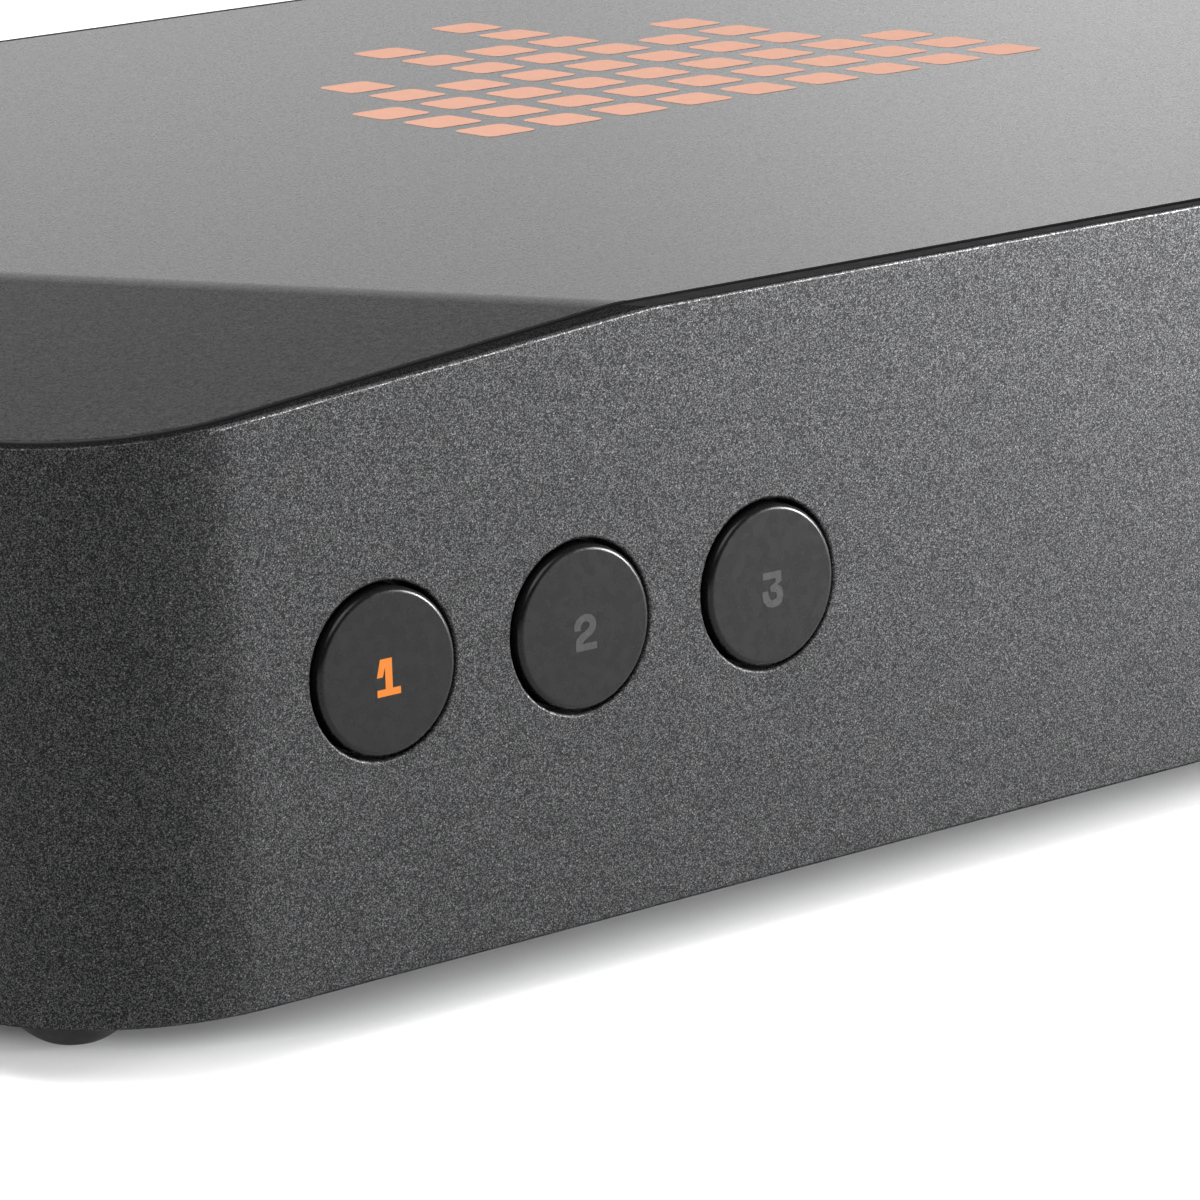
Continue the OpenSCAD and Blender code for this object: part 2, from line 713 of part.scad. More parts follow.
module socket_housing(x, bore_r) at_rear(x) difference() {
    union() {
        along_y(nose_r, -rear_t - flange_t, nose_proud);
        span([-flange_w / 2, -rear_t - flange_t, -flange_h / 2], [flange_w / 2, -rear_t, flange_h / 2]);
        span([-block_w / 2, -rear_t - flange_t - block_depth, -socket_rise],
            [block_w / 2, -rear_t - flange_t, block_h]);
    }
    along_y(bore_r, -socket_depth, nose_proud + skin);
    translate([0, nose_proud - mouth_flare, 0]) rotate([-90, 0, 0])
        cylinder(r1 = bore_r, r2 = bore_r + 2 * mouth_flare, h = 2 * mouth_flare);
    for (p = socket_screw_spots) translate([p.x, 0, p.y])
        along_y(socket_screw_bore_r, -rear_t - flange_t - socket_screw_grip - skin, -rear_t + skin);
}

module input_housing(x) color("#1a1a1b") difference() {
    socket_housing(x, input_bore_d / 2);
    at_rear(x) span([-latch_w / 2 - slack, latch_slot_y0, latch_slot_z0],
        [latch_w / 2 + slack, nose_proud + skin, nose_r + skin]);
}

module input_insert(x) color("#202021") at_rear(x) difference() {
    along_y(insert_r, -socket_depth, insert_y1);
    for (p = pin_spots) translate([-p.x, 0, p.y])
        along_y(contact_hole_r, insert_y1 - contact_hole_depth, insert_y1 + skin);
    span([-insert_key_w / 2, -socket_depth / 2, insert_r - insert_key_depth],
        [insert_key_w / 2, insert_y1 + skin, insert_r + skin]);
}

module input_contacts(x) color("#c9b26a") at_rear(x)
    for (p = pin_spots) translate([-p.x, insert_y1 - contact_hole_depth, p.y]) difference() {
        along_y(contact_r, 0, contact_l);
        along_y(contact_bore_r, contact_floor, contact_l + skin);
    }

// The tab that is pressed to let a plug go, with the tooth that holds the plug
module input_latch(x) color("#8f9092") at_rear(x) {
    span([-latch_w / 2, latch_y1 - latch_l, latch_z0], [latch_w / 2, latch_y1, latch_z1]);
    span([-latch_tooth_w / 2, latch_y1 - latch_l, latch_z0 - latch_tooth_h],
        [latch_tooth_w / 2, latch_y1 - latch_l + latch_tooth_l, latch_z0 + fit]);
}

module output_housing(x) color("#1a1a1b") socket_housing(x, output_bore_d / 2);

module output_pins(x) color("#cfcfd2") at_rear(x)
    for (p = pin_spots) translate([p.x, 0, p.y]) {
        along_y(pin_r, -socket_depth, pin_y1 - pin_r / 2);
        translate([0, pin_y1 - pin_r / 2, 0]) rotate([-90, 0, 0])
            cylinder(r1 = pin_r, r2 = pin_r / 2, h = pin_r / 2);
    }

module socket_screws() color("#2a2a2b")
    for (x = concat(input_x, output_x), p = socket_screw_spots) at_rear(x + p.x, socket_z + p.y)
        pan_screw(socket_screw_bore_r - fit, rear_t + flange_t + socket_screw_grip);

// Rear panel

module rear_panel() color("#2e2e30") difference() {
    span([-rear_plate_w / 2, rear_inner_y, rear_plate_z0], [rear_plate_w / 2, rear_face_y, rear_plate_z1]);
    for (x = concat(input_x, output_x)) {
        at_rear(x) along_y(nose_hole_r, -rear_t - skin, skin);
        for (p = socket_screw_spots) at_rear(x + p.x, socket_z + p.y)
            along_y(socket_screw_bore_r + screw_room, -rear_t - skin, skin);
    }
    at_rear(usb_x, usb_z) slot_bar(usb_w + 2 * slide_gap, usb_h + 2 * slide_gap, -rear_t - skin, skin);
    at_rear(dc_x, dc_z) along_y(dc_nose_r + slide_gap, -rear_t - skin, skin);
    at_rear(rocker_x) switch_box(slide_gap, -rear_t - skin, skin);
    for (s = [-1, 1], z = rear_screw_z) translate([s * rear_screw_x, rear_face_y, z])
        along_y(rear_screw_r + screw_room, -rear_t - skin, skin);
}

module rear_panel_screws() color("#2a2a2b")
    for (s = [-1, 1], z = rear_screw_z) translate([s * rear_screw_x, rear_inner_y, z])
        rotate([0, 0, 180]) pan_screw(rear_screw_r, rear_screw_l);

// Data socket and power inlet

module usb_shell() color("#b9babd") at_rear(usb_x, usb_z) difference() {
    slot_bar(usb_w, usb_h, usb_proud - usb_l, usb_proud);
    slot_bar(usb_w - 2 * usb_wall, usb_h - 2 * usb_wall, usb_proud - usb_l - skin, usb_proud + skin);
}

module usb_tongue() color("#101011") at_rear(usb_x, usb_z) {
    wall = usb_wall + fit;
    back_y = usb_proud - usb_l + usb_back_t;
    slot_bar(usb_w - 2 * wall, usb_h - 2 * wall, usb_proud - usb_l, back_y);
    span([-usb_tongue_w / 2, back_y - fit, -usb_tongue_t / 2],
        [usb_tongue_w / 2, usb_proud - usb_tongue_short, usb_tongue_t / 2]);
}

module dc_jack() color("#1a1a1b") at_rear(dc_x, dc_z) difference() {
    union() {
        span([-dc_block.x / 2, -rear_t - dc_block.y, -dc_rise],
            [dc_block.x / 2, -rear_t, dc_block.z - dc_rise]);
        along_y(dc_nose_r, -rear_t - skin, dc_proud);
    }
    along_y(dc_bore_r, dc_proud - dc_bore_depth, dc_proud + skin);
}

module dc_pin() color("#cfcfd2") at_rear(dc_x, dc_z)
    along_y(dc_pin_r, dc_proud - dc_bore_depth, dc_proud - dc_pin_short);

// Power switch: the rocker's ends are round about its pivot

module switch_box(grow, y0, y1) {
    x = rocker_w / 2 + rocker_gap + switch_wall + grow;
    z = rocker_r + rocker_gap + switch_wall + grow;
    span([-x, y0, -z], [x, y1, z]);
}

// A bar along X through the middle of the switch, at the rocker's pivot
module pivot_bar(r, l) {
    translate([-l / 2, pivot_y, 0]) rotate([0, 90, 0]) cylinder(r = r, h = l);
}

module switch_housing() color("#161617") at_rear(rocker_x) difference() {
    union() {
        switch_box(0, -rear_t - switch_depth, skin);
        switch_box(bezel_lip, 0, bezel_t);
    }
    span([-rocker_w / 2 - rocker_gap, pivot_y - rocker_r - slack, -rocker_r - rocker_gap],
        [rocker_w / 2 + rocker_gap, bezel_t + skin, rocker_r + rocker_gap]);
    pivot_bar(rocker_pivot_r + fit, pivot_l + 2 * fit);
}

module power_rocker() color("#202022") at_rear(rocker_x) {
    rise = rocker_r * tan(rocker_throw);
    translate([-rocker_w / 2, pivot_y, 0]) rotate([0, 90, 0]) linear_extrude(rocker_w) intersection() {
        circle(r = rocker_r);
        polygon([[-rocker_r, -rocker_depth], [rocker_r, -rocker_depth],
            [rocker_r, rocker_low + rise], [0, rocker_low], [-rocker_r, rocker_low]]);
    }
    pivot_bar(rocker_pivot_r, pivot_l);
}

// Two legs that leave the back of the switch and turn down to the main board
module switch_terminals() color("#c8c2a8") at_rear(rocker_x)
    for (i = [0:1]) {
        y0 = -rear_t - switch_depth;
        y1 = y0 - terminal_out * (i + 1);
        span([-terminal_w / 2, y1, terminal_z[i] - terminal_t], [terminal_w / 2, y0, terminal_z[i]]);
        span([-terminal_w / 2, y1, -socket_rise], [terminal_w / 2, y1 + terminal_t, terminal_z[i]]);
    }

body_shell();
top_panel();
base_plate();
rear_panel();
lid_pillars();
base_screws();
foot_front_left();
foot_front_right();
foot_rear_left();
foot_rear_right();
for (i = [0:2]) {
    button_cap(i);
    light_guide(i);
    switch_plunger(i);
    tact_switch(i);
}
button_guide();
button_board();
button_board_screws();
button_leds();
ribbon_cable();
ribbon_sockets();
main_board();
board_standoffs();
board_screws();
signal_chip();
converter_chips();
bypass_relays();
filter_capacitors();
power_inductor();
input_housing(input_x[0]);  // input_housing_left
input_housing(input_x[1]);  // input_housing_right
input_insert(input_x[0]);  // input_insert_left
input_insert(input_x[1]);  // input_insert_right
input_contacts(input_x[0]);  // input_contacts_left
input_contacts(input_x[1]);  // input_contacts_right
input_latch(input_x[0]);  // input_latch_left
input_latch(input_x[1]);  // input_latch_right
output_housing(output_x[0]);  // output_housing_left
output_housing(output_x[1]);  // output_housing_right
output_pins(output_x[0]);  // output_pins_left
output_pins(output_x[1]);  // output_pins_right
socket_screws();
rear_panel_screws();
usb_shell();
usb_tongue();
dc_jack();
dc_pin();
switch_housing();
switch_terminals();
power_rocker();
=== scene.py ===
"""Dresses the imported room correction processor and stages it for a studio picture."""

import math

import bmesh
import bpy
from bpy.props import FloatProperty, FloatVectorProperty, IntProperty, PointerProperty
from mathutils import Euler, Matrix, Vector


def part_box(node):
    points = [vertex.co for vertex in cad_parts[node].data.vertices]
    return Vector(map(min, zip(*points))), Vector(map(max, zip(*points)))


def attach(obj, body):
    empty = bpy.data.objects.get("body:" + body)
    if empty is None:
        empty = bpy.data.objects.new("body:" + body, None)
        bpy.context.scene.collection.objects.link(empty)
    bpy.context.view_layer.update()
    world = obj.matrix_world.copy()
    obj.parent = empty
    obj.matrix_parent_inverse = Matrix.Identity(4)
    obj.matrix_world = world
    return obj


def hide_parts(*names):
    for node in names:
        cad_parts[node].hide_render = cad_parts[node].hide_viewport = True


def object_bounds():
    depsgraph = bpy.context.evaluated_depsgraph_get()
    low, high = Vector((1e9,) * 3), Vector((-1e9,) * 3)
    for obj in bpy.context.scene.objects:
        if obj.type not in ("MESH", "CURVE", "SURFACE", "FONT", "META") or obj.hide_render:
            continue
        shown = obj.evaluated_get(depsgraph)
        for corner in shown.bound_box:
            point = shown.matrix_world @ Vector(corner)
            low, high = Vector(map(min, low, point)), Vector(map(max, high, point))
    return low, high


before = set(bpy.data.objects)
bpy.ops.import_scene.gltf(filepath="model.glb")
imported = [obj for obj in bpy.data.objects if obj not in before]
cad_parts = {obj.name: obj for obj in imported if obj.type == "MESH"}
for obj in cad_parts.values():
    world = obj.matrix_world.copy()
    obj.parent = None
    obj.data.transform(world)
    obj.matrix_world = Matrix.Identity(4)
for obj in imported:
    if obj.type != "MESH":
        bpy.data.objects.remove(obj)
CAD_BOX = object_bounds()

bl_info = {
    "name": "Room Correction Processor",
    "version": (1, 0, 0),
    "blender": (4, 5, 0),
    "location": "3D View > Sidebar > Processor",
    "description": "Dresses a desktop audio processor and stages it for a picture",
    "category": "Object",
}

MM = 0.001
ROOT = "casing"
SIDES = ("left", "right")
BUTTONS = (1, 2, 3)

# Outlines of the digits, as fractions of a digit's width and height
DIGITS = {
    1: [(0, 0), (1, 0), (1, 0.19), (0.66, 0.19), (0.66, 1), (0.16, 1), (0, 0.52), (0.25, 0.52),
        (0.36, 0.79), (0.36, 0.19), (0, 0.19)],
    2: [(0.05, 0), (1, 0), (1, 0.19), (0.36, 0.19), (0.44, 0.27), (0.8, 0.41), (0.93, 0.51),
        (1, 0.64), (0.96, 0.82), (0.8, 0.95), (0.54, 1), (0.27, 0.96), (0.07, 0.85), (0, 0.72),
        (0, 0.57), (0.28, 0.57), (0.3, 0.7), (0.39, 0.78), (0.54, 0.8), (0.68, 0.74), (0.69, 0.64),
        (0.53, 0.55), (0.25, 0.45), (0.09, 0.35), (0.05, 0.25)],
    3: [(0.05, 1), (0.92, 1), (0.94, 0.7), (0.74, 0.62), (0.93, 0.52), (1, 0.32), (0.93, 0.12),
        (0.75, 0.02), (0.49, 0), (0.23, 0.05), (0.05, 0.2), (0, 0.38), (0.03, 0.48), (0.28, 0.48),
        (0.31, 0.34), (0.38, 0.24), (0.5, 0.2), (0.64, 0.24), (0.7, 0.33), (0.63, 0.42),
        (0.4, 0.45), (0.38, 0.6), (0.64, 0.7), (0.64, 0.81), (0.05, 0.81)],
}

# Lit segments in each column of the level meter on the top panel
METER_COLUMNS = (3, 5, 4, 7, 6, 8, 5, 6, 3)
# Rounding of a segment's corners, as a share of half its width
SEGMENT_ROUND = 0.3
# The ground of a print lies this many print thicknesses below the solid, so the print stays inside
SINK = 1.5

# Play when coordinates are merged or compared
SLACK = 2e-6
# Faces that meet at less than this many degrees count as one flat face
FLAT_ANGLE = 0.3
# Parts of the normals that tell flat faces, rounded edges and creases on the top apart; they also
# pick the rim that gets painted shade and the long edges that get a painted highlight
FLAT_UP, LID_UP, CREASE_UP, EDGE_UP, HIGHLIGHT_ASIDE = 0.97, 0.93, 0.95, 0.2, 0.15
# The facets of the shell end within this distance below its top
FACET_DROP = 9 * MM
# Brightness of the paint on the flat rim, darkened there as painted shade, and on the long edges
# round it, lightened there as a painted highlight; and how far the base plate and the panel's edge
# are darkened as painted shade
RIM_SHADE_LEVEL, EDGE_HIGHLIGHT_LEVEL, PAINTED_SHADE_FACTOR = 0.8, 2.9, 0.4

# Radius of a foot's flat tip
FOOT_TIP = 2 * MM
# How far a cap's flange stands out, how thick it is, and the play round the light guide
FLANGE_W, FLANGE_T, GUIDE_PLAY = 0.85 * MM, 1.4 * MM, 0.05 * MM
# Screws with a round head in the sockets, and with a countersunk head in the base
PAN_SCREW = {"head_r": 2.4 * MM, "head_h": 1.5 * MM, "shank_r": 1.15 * MM, "shank_l": 7.7 * MM}
FLAT_SCREW = {"head_r": 2.7 * MM, "head_h": 1.2 * MM, "shank_r": 1.4 * MM}

# Soft noise seldom leaves this span
NOISE_SPAN = (0.3, 0.7)

# Where each light stands, its width and height, and the spread of its beam in degrees
LIGHTS = {
    "key": ((0.38, -0.33, 0.10), (0.2, 0.16), 70),
    "top": ((-0.42, -0.42, 0.85), (0.7, 0.7), 180),
    "rim": ((-0.6, 0.35, 0.9), (0.45, 0.45), 180),
    "rear": ((-0.5, 0.9, 0.3), (0.5, 0.4), 180),
}
# The pale band of the room: for each axis, the part of the direction along it where a fade starts
# and ends, and the strengths there; and the strength of the rest of the room
ROOM_BAND = {"Z": (0.10, 0.318, 1.5, 0.0), "Y": (0.0, 0.5, 0.0, 1.0), "X": (0.61, 0.70, 0.93, 1.37)}
ROOM_DIM = 0.06
# How the floor glows towards white round the object: two steps, each with the distances from the
# object's outline where it starts and ends, and its strengths there. The first is a painted shadow:
# the floor glows little under the object's edge, so it stays darker close to it; the second whitens
# the far floor
FLOOR_GLOW_AND_PAINTED_SHADOW = ((-8 * MM, -0.5 * MM, 0.04, 0.44), (110 * MM, 420 * MM, 0.0, 0.9))
# Radius of the outline's corners in that measure
OUTLINE_ROUND = 28 * MM
FLOOR_SIZE = 16
SENSOR_W = 36
CLIP_START, CLIP_END = 0.01, 50


# Settings that a user would change

class ProcessorCasing(bpy.types.PropertyGroup):
    """Sizes and colours of the casing and the top panel."""

    edge_round: FloatProperty(
        name="Edge Round", description="Radius along the sharp edges of the casing",
        default=0.25 * MM, unit="LENGTH", precision=5)
    panel_round: FloatProperty(
        name="Panel Round", description="Radius along the edge of the top panel",
        default=0.18 * MM, unit="LENGTH", precision=5)
    crease_round: FloatProperty(
        name="Crease Round", description="Half width of the soft bend where a facet meets the top",
        default=1.3 * MM, unit="LENGTH", precision=5)
    paint: FloatVectorProperty(
        name="Paint", description="Ground colour of the flake paint",
        subtype="COLOR", size=4, default=(0.0158, 0.0158, 0.0162, 1))
    flake: FloatVectorProperty(
        name="Flake", description="Colour of the bright flakes in the paint",
        subtype="COLOR", size=4, default=(0.142, 0.142, 0.145, 1))
    panel: FloatVectorProperty(
        name="Panel", description="Colour of the satin top panel",
        subtype="COLOR", size=4, default=(0.036, 0.036, 0.037, 1))
    ink: FloatVectorProperty(
        name="Ink", description="Colour of the printed level meter",
        subtype="COLOR", size=4, default=(0.88, 0.45, 0.315, 1))
    segment_w: FloatProperty(
        name="Segment Width", description="Width and length of a level segment",
        default=4.7 * MM, unit="LENGTH", precision=5)
    column_pitch: FloatProperty(
        name="Column Pitch", description="Distance between the columns of the level meter",
        default=6.65 * MM, unit="LENGTH", precision=5)
    row_pitch: FloatProperty(
        name="Row Pitch", description="Distance between the segments of a column",
        default=6.5 * MM, unit="LENGTH", precision=5)
    meter_front: FloatProperty(
        name="Meter Front", description="Y of the front edge of the level meter",
        default=-6.3 * MM, unit="LENGTH", precision=5)
    ink_t: FloatProperty(
        name="Ink Thickness", description="Thickness of the printed layer",
        default=0.02 * MM, unit="LENGTH", precision=6)


class ProcessorButtons(bpy.types.PropertyGroup):
    """Sizes and colours of the buttons and their digits."""

    edge_round: FloatProperty(
        name="Edge Round", description="Radius of a cap's front edge",
        default=0.4 * MM, unit="LENGTH", precision=5)
    cap: FloatVectorProperty(
        name="Cap", description="Colour of the button caps",
        subtype="COLOR", size=4, default=(0.006, 0.006, 0.0062, 1))
    lit: FloatVectorProperty(
        name="Lit Digit", description="Colour of the digit that is lit",
        subtype="COLOR", size=4, default=(1.0, 0.27, 0.02, 1))
    unlit: FloatVectorProperty(
        name="Unlit Digit", description="Colour of a digit that is not lit",
        subtype="COLOR", size=4, default=(0.044, 0.044, 0.044, 1))
    digit_w: FloatProperty(
        name="Digit Width", description="Width of a digit",
        default=1.85 * MM, unit="LENGTH", precision=5)
    digit_h: FloatProperty(
        name="Digit Height", description="Height of a digit",
        default=2.42 * MM, unit="LENGTH", precision=5)
    digit_drop: FloatProperty(
        name="Digit Drop", description="How far a digit sits below the middle of its cap",
        default=0.3 * MM, unit="LENGTH", precision=5)
    digit_t: FloatProperty(
        name="Digit Thickness", description="How far a digit stands out of its cap",
        default=0.02 * MM, unit="LENGTH", precision=6)
    lit_number: IntProperty(
        name="Lit Button", description="Number of the button that is lit", default=1, min=1, max=3)


class ProcessorRear(bpy.types.PropertyGroup):
    """Sizes and colours of what is set into the rear panel, and of the feet and screws."""

    edge_round: FloatProperty(
        name="Edge Round", description="Radius along the edges of the rear fittings",
        default=0.12 * MM, unit="LENGTH", precision=5)
    socket: FloatVectorProperty(
        name="Socket", description="Colour of the moulded sockets",
        subtype="COLOR", size=4, default=(0.022, 0.022, 0.023, 1))
    sheet: FloatVectorProperty(
        name="Sheet", description="Colour of the coated rear panel and base plate",
        subtype="COLOR", size=4, default=(0.03, 0.03, 0.031, 1))
    steel: FloatVectorProperty(
        name="Steel", description="Colour of the bare steel",
        subtype="COLOR", size=4, default=(0.55, 0.55, 0.56, 1))
    gold: FloatVectorProperty(
        name="Gold", description="Colour of the plated contacts",
        subtype="COLOR", size=4, default=(0.83, 0.60, 0.25, 1))
    mark: FloatVectorProperty(
        name="Mark", description="Colour of the marks on the rocker",
        subtype="COLOR", size=4, default=(0.75, 0.75, 0.74, 1))
    mark_t: FloatProperty(
        name="Mark Thickness", description="How far the marks stand out of the rocker",
        default=0.02 * MM, unit="LENGTH", precision=6)
    rocker_slope: FloatProperty(
        name="Rocker Slope", description="Angle between the two halves of the rocker's face",
        subtype="ANGLE", default=math.radians(18))
    rubber: FloatVectorProperty(
        name="Rubber", description="Colour of the feet",
        subtype="COLOR", size=4, default=(0.04, 0.04, 0.04, 1))
    oxide: FloatVectorProperty(
        name="Oxide", description="Colour of the blackened screws",
        subtype="COLOR", size=4, default=(0.035, 0.035, 0.037, 1))


class ProcessorStage(bpy.types.PropertyGroup):
    """Camera, floor and light."""

    camera_at: FloatVectorProperty(
        name="Camera", description="Place of the camera",
        subtype="XYZ", unit="LENGTH", default=(-0.30993, -0.36303, 0.11622))
    heading: FloatProperty(
        name="Heading", description="Turn of the camera from +Y towards +X",
        subtype="ANGLE", default=math.radians(39.128))
    dip: FloatProperty(
        name="Dip", description="Angle of the camera below the horizon",
        subtype="ANGLE", default=math.radians(13.433))
    roll: FloatProperty(
        name="Roll", description="Turn of the camera about its line of sight",
        subtype="ANGLE", default=math.radians(-1.882))
    lens: FloatProperty(
        name="Lens", description="Focal length in millimetres on a sensor 36 mm wide",
        default=181.551)
    floor: FloatVectorProperty(
        name="Floor", description="Colour of the floor as the camera sees it, burnt out to white",
        subtype="COLOR", size=4, default=(0.71, 0.71, 0.71, 1))
    floor_bounce: FloatVectorProperty(
        name="Floor Bounce", description="Colour of the light that the floor throws back",
        subtype="COLOR", size=4, default=(0.32, 0.32, 0.32, 1))
    key_power: FloatProperty(
        name="Key Power", description="Power of the light at the front right",
        subtype="POWER", default=1.5)
    top_power: FloatProperty(
        name="Top Power", description="Power of the large light above the front left",
        subtype="POWER", default=7.2)
    rim_power: FloatProperty(
        name="Rim Power", description="Power of the light above the rear left",
        subtype="POWER", default=6.9)
    rear_power: FloatProperty(
        name="Rear Power", description="Power of the light on the rear",
        subtype="POWER", default=2.0)


# Selecting and shaping

def clear_selection():
    """Leaves edit mode and selects nothing."""
    if bpy.context.mode != "OBJECT":
        bpy.ops.object.mode_set(mode="OBJECT")
    bpy.ops.object.select_all(action="DESELECT")


def make_active(obj):
    """Selects one object alone."""
    clear_selection()
    obj.select_set(True)
    bpy.context.view_layer.objects.active = obj


def edit(obj, mode="FACE"):
    """Opens an object in edit mode with nothing selected."""
    make_active(obj)
    bpy.ops.object.mode_set(mode="EDIT")
    bpy.ops.mesh.select_mode(type=mode)
    bpy.ops.mesh.select_all(action="DESELECT")


def pick(obj, mode, test):
    """Selects the vertices, edges or faces that pass a test, in edit mode."""
    bpy.ops.mesh.select_mode(type=mode)
    bpy.ops.mesh.select_all(action="DESELECT")
    mesh = bmesh.from_edit_mesh(obj.data)
    items = {"VERT": mesh.verts, "EDGE": mesh.edges, "FACE": mesh.faces}[mode]
    count = 0
    for item in items:
        if test(item):
            item.select_set(True)
            count += 1
    if not count:
        raise RuntimeError(f"nothing to select on {obj.name}")
    mesh.select_flush_mode()
    bmesh.update_edit_mesh(obj.data)


def all_at(axis, place):
    """A test for edges or faces whose vertices all lie at one place along an axis."""
    return lambda item: all(abs(v.co[axis] - place) < SLACK for v in item.verts)


def close():
    """Leaves edit mode."""
    bpy.ops.object.mode_set(mode="OBJECT")


def extrude(x, y, z):
    """Extrudes what is selected."""
    bpy.ops.mesh.extrude_region_move(TRANSFORM_OT_translate={"value": (x, y, z)})


def face_outward():
    """Turns every face outward, in edit mode."""
    bpy.ops.mesh.select_all(action="SELECT")
    bpy.ops.mesh.normals_make_consistent(inside=False)


def named(obj, name):
    """Gives an object and its mesh one name."""
    obj.name = name
    obj.data.name = name
    return obj


def settle(obj):
    """Moves an object's place and turn into its mesh."""
    make_active(obj)
    bpy.ops.object.transform_apply(location=True, rotation=True, scale=True)


def primitive(operator, name, **values):
    """A new primitive with a name of its own, and its place and turn in its mesh."""
    clear_selection()
    operator(**values)
    obj = named(bpy.context.object, name)
    settle(obj)
    return obj


def add_cylinder(name, radius, start, end, vertices):
    """A cylinder between two points of one axis."""
    line = Vector(end) - Vector(start)
    return primitive(
        bpy.ops.mesh.primitive_cylinder_add, name, vertices=vertices, radius=radius,
        depth=line.length, location=(Vector(start) + Vector(end)) / 2,
        rotation=line.to_track_quat("Z", "Y").to_euler())


def add_block(name, low, high):
    """A block between two corners."""
    low, high = Vector(low), Vector(high)
    return primitive(
        bpy.ops.mesh.primitive_cube_add, name, size=1, location=(low + high) / 2, scale=high - low)


def apply_modifier(obj, kind, **values):
    """Adds a modifier, sets its values and applies it."""
    make_active(obj)
    bpy.ops.object.modifier_add(type=kind)
    modifier = obj.modifiers[-1]
    for key, value in values.items():
        setattr(modifier, key, value)
    bpy.ops.object.modifier_apply(modifier=modifier.name)


def round_edges(obj, width, segments=3, angle=35, creased=False):
    """Rounds every edge that is sharper than an angle, and shades the piece."""
    apply_modifier(
        obj, "BEVEL", width=width, segments=segments, limit_method="ANGLE",
        angle_limit=math.radians(angle), use_clamp_overlap=False)
    if creased:
        crisp_creases(obj)
    smooth(obj)


def smooth(obj, angle=40):
    """Shades a piece smooth where its faces meet at less than an angle, and flat faces flat."""
    make_active(obj)
    bpy.ops.object.shade_smooth_by_angle(angle=math.radians(angle))
    apply_modifier(obj, "WEIGHTED_NORMAL", mode="FACE_AREA", weight=100, keep_sharp=True)


def shallow_crease(edge, least=2, most=12):
    """Whether an edge is a shallow crease between two upward faces."""
    if len(edge.link_faces) != 2:
        return False
    angle = math.degrees(edge.calc_face_angle(0))
    return least < angle < most and all(face.normal.z > CREASE_UP for face in edge.link_faces)


def crisp_creases(obj):
    """Marks the shallow creases as sharp."""
    edit(obj)
    pick(obj, "EDGE", shallow_crease)
    bpy.ops.mesh.mark_sharp()
    close()


def soften_creases(obj, width, segments=8):
    """Bends the shallow creases gently over a width to each side."""
    edit(obj)
    pick(obj, "EDGE", shallow_crease)
    bpy.ops.mesh.bevel(offset=width, segments=segments, affect="EDGES", clamp_overlap=False)
    close()


def cut(obj, tool):
    """Cuts a tool out of a piece and removes the tool."""
    apply_modifier(obj, "BOOLEAN", operation="DIFFERENCE", object=tool, solver="EXACT")
    bpy.data.objects.remove(tool)


def join(objects, name):
    """Joins objects into one piece."""
    make_active(objects[0])
    for obj in objects:
        obj.select_set(True)
    bpy.ops.object.join()
    return named(objects[0], name)


def copy_to(obj, places):
    """Copies of a piece, each with its own mesh, at places; the first place takes the piece."""
    made = [obj]
    while len(made) < len(places):
        twin = bpy.data.objects.new(obj.name, obj.data.copy())
        bpy.context.scene.collection.objects.link(twin)
        made.append(twin)
    for twin, place in zip(made, places):
        twin.data.transform(Matrix.Translation(place))
    return made


def solid_copy(node, name):
    """A copy of a CAD node's mesh with its loose triangles merged into clean faces."""
    obj = bpy.data.objects.new(name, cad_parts[node].data.copy())
    bpy.context.scene.collection.objects.link(obj)
    named(obj, name)
    make_active(obj)
    bpy.ops.mesh.customdata_custom_splitnormals_clear()
    edit(obj, "VERT")
    bpy.ops.mesh.select_all(action="SELECT")
    bpy.ops.mesh.remove_doubles(threshold=SLACK)
    bpy.ops.mesh.dissolve_limited(angle_limit=math.radians(FLAT_ANGLE))
    close()
    return obj


def finished(obj, body, slot, material, *nodes):
    """Paints a piece, sets it on its body and hides the nodes it stands for."""
    obj.data.materials.clear()
    obj.data.materials.append(material)
    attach(obj, body)
    if nodes:
        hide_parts(*nodes)


def dress(parts):
    """Rounds the edges of copies of nodes, each given with its body, slot, finish and radius."""
    for node, body, slot, material, width in parts:
        piece = solid_copy(node, node + "_part")
        round_edges(piece, width, 2)
        finished(piece, body, slot, material, node)


def repaint(obj, material, test):
    """Gives the faces that pass a test a material of their own."""
    make_active(obj)
    bpy.ops.object.material_slot_add()
    obj.material_slots[-1].material = material
    edit(obj)
    pick(obj, "FACE", test)
    obj.active_material_index = len(obj.material_slots) - 1
    bpy.ops.object.material_slot_assign()
    close()


# Finishes

def fill(tree, socket, value):
    """Links an output to a socket, or sets a plain value on it."""
    if isinstance(value, bpy.types.NodeSocket):
        tree.links.new(value, socket)
    else:
        socket.default_value = value


def add_node(tree, kind, **inputs):
    """A shader node with its sockets filled."""
    node = tree.nodes.new("ShaderNode" + kind)
    for key, value in inputs.items():
        fill(tree, node.inputs[key.replace("_", " ")], value)
    return node


def map_range(tree, value, low, high, to_low, to_high, kind="LINEAR"):
    """A value mapped from one range to another, and held inside it."""
    node = add_node(
        tree, "MapRange", Value=value, From_Min=low, From_Max=high, To_Min=to_low, To_Max=to_high)
    node.interpolation_type = kind
    return node.outputs["Result"]


def arithmetic(tree, kind, a, b):
    """Arithmetic on two values, each a number or an output."""
    node = add_node(tree, "Math")
    node.operation = kind
    for socket, value in zip(node.inputs, (a, b)):
        fill(tree, socket, value)
    return node.outputs["Value"]


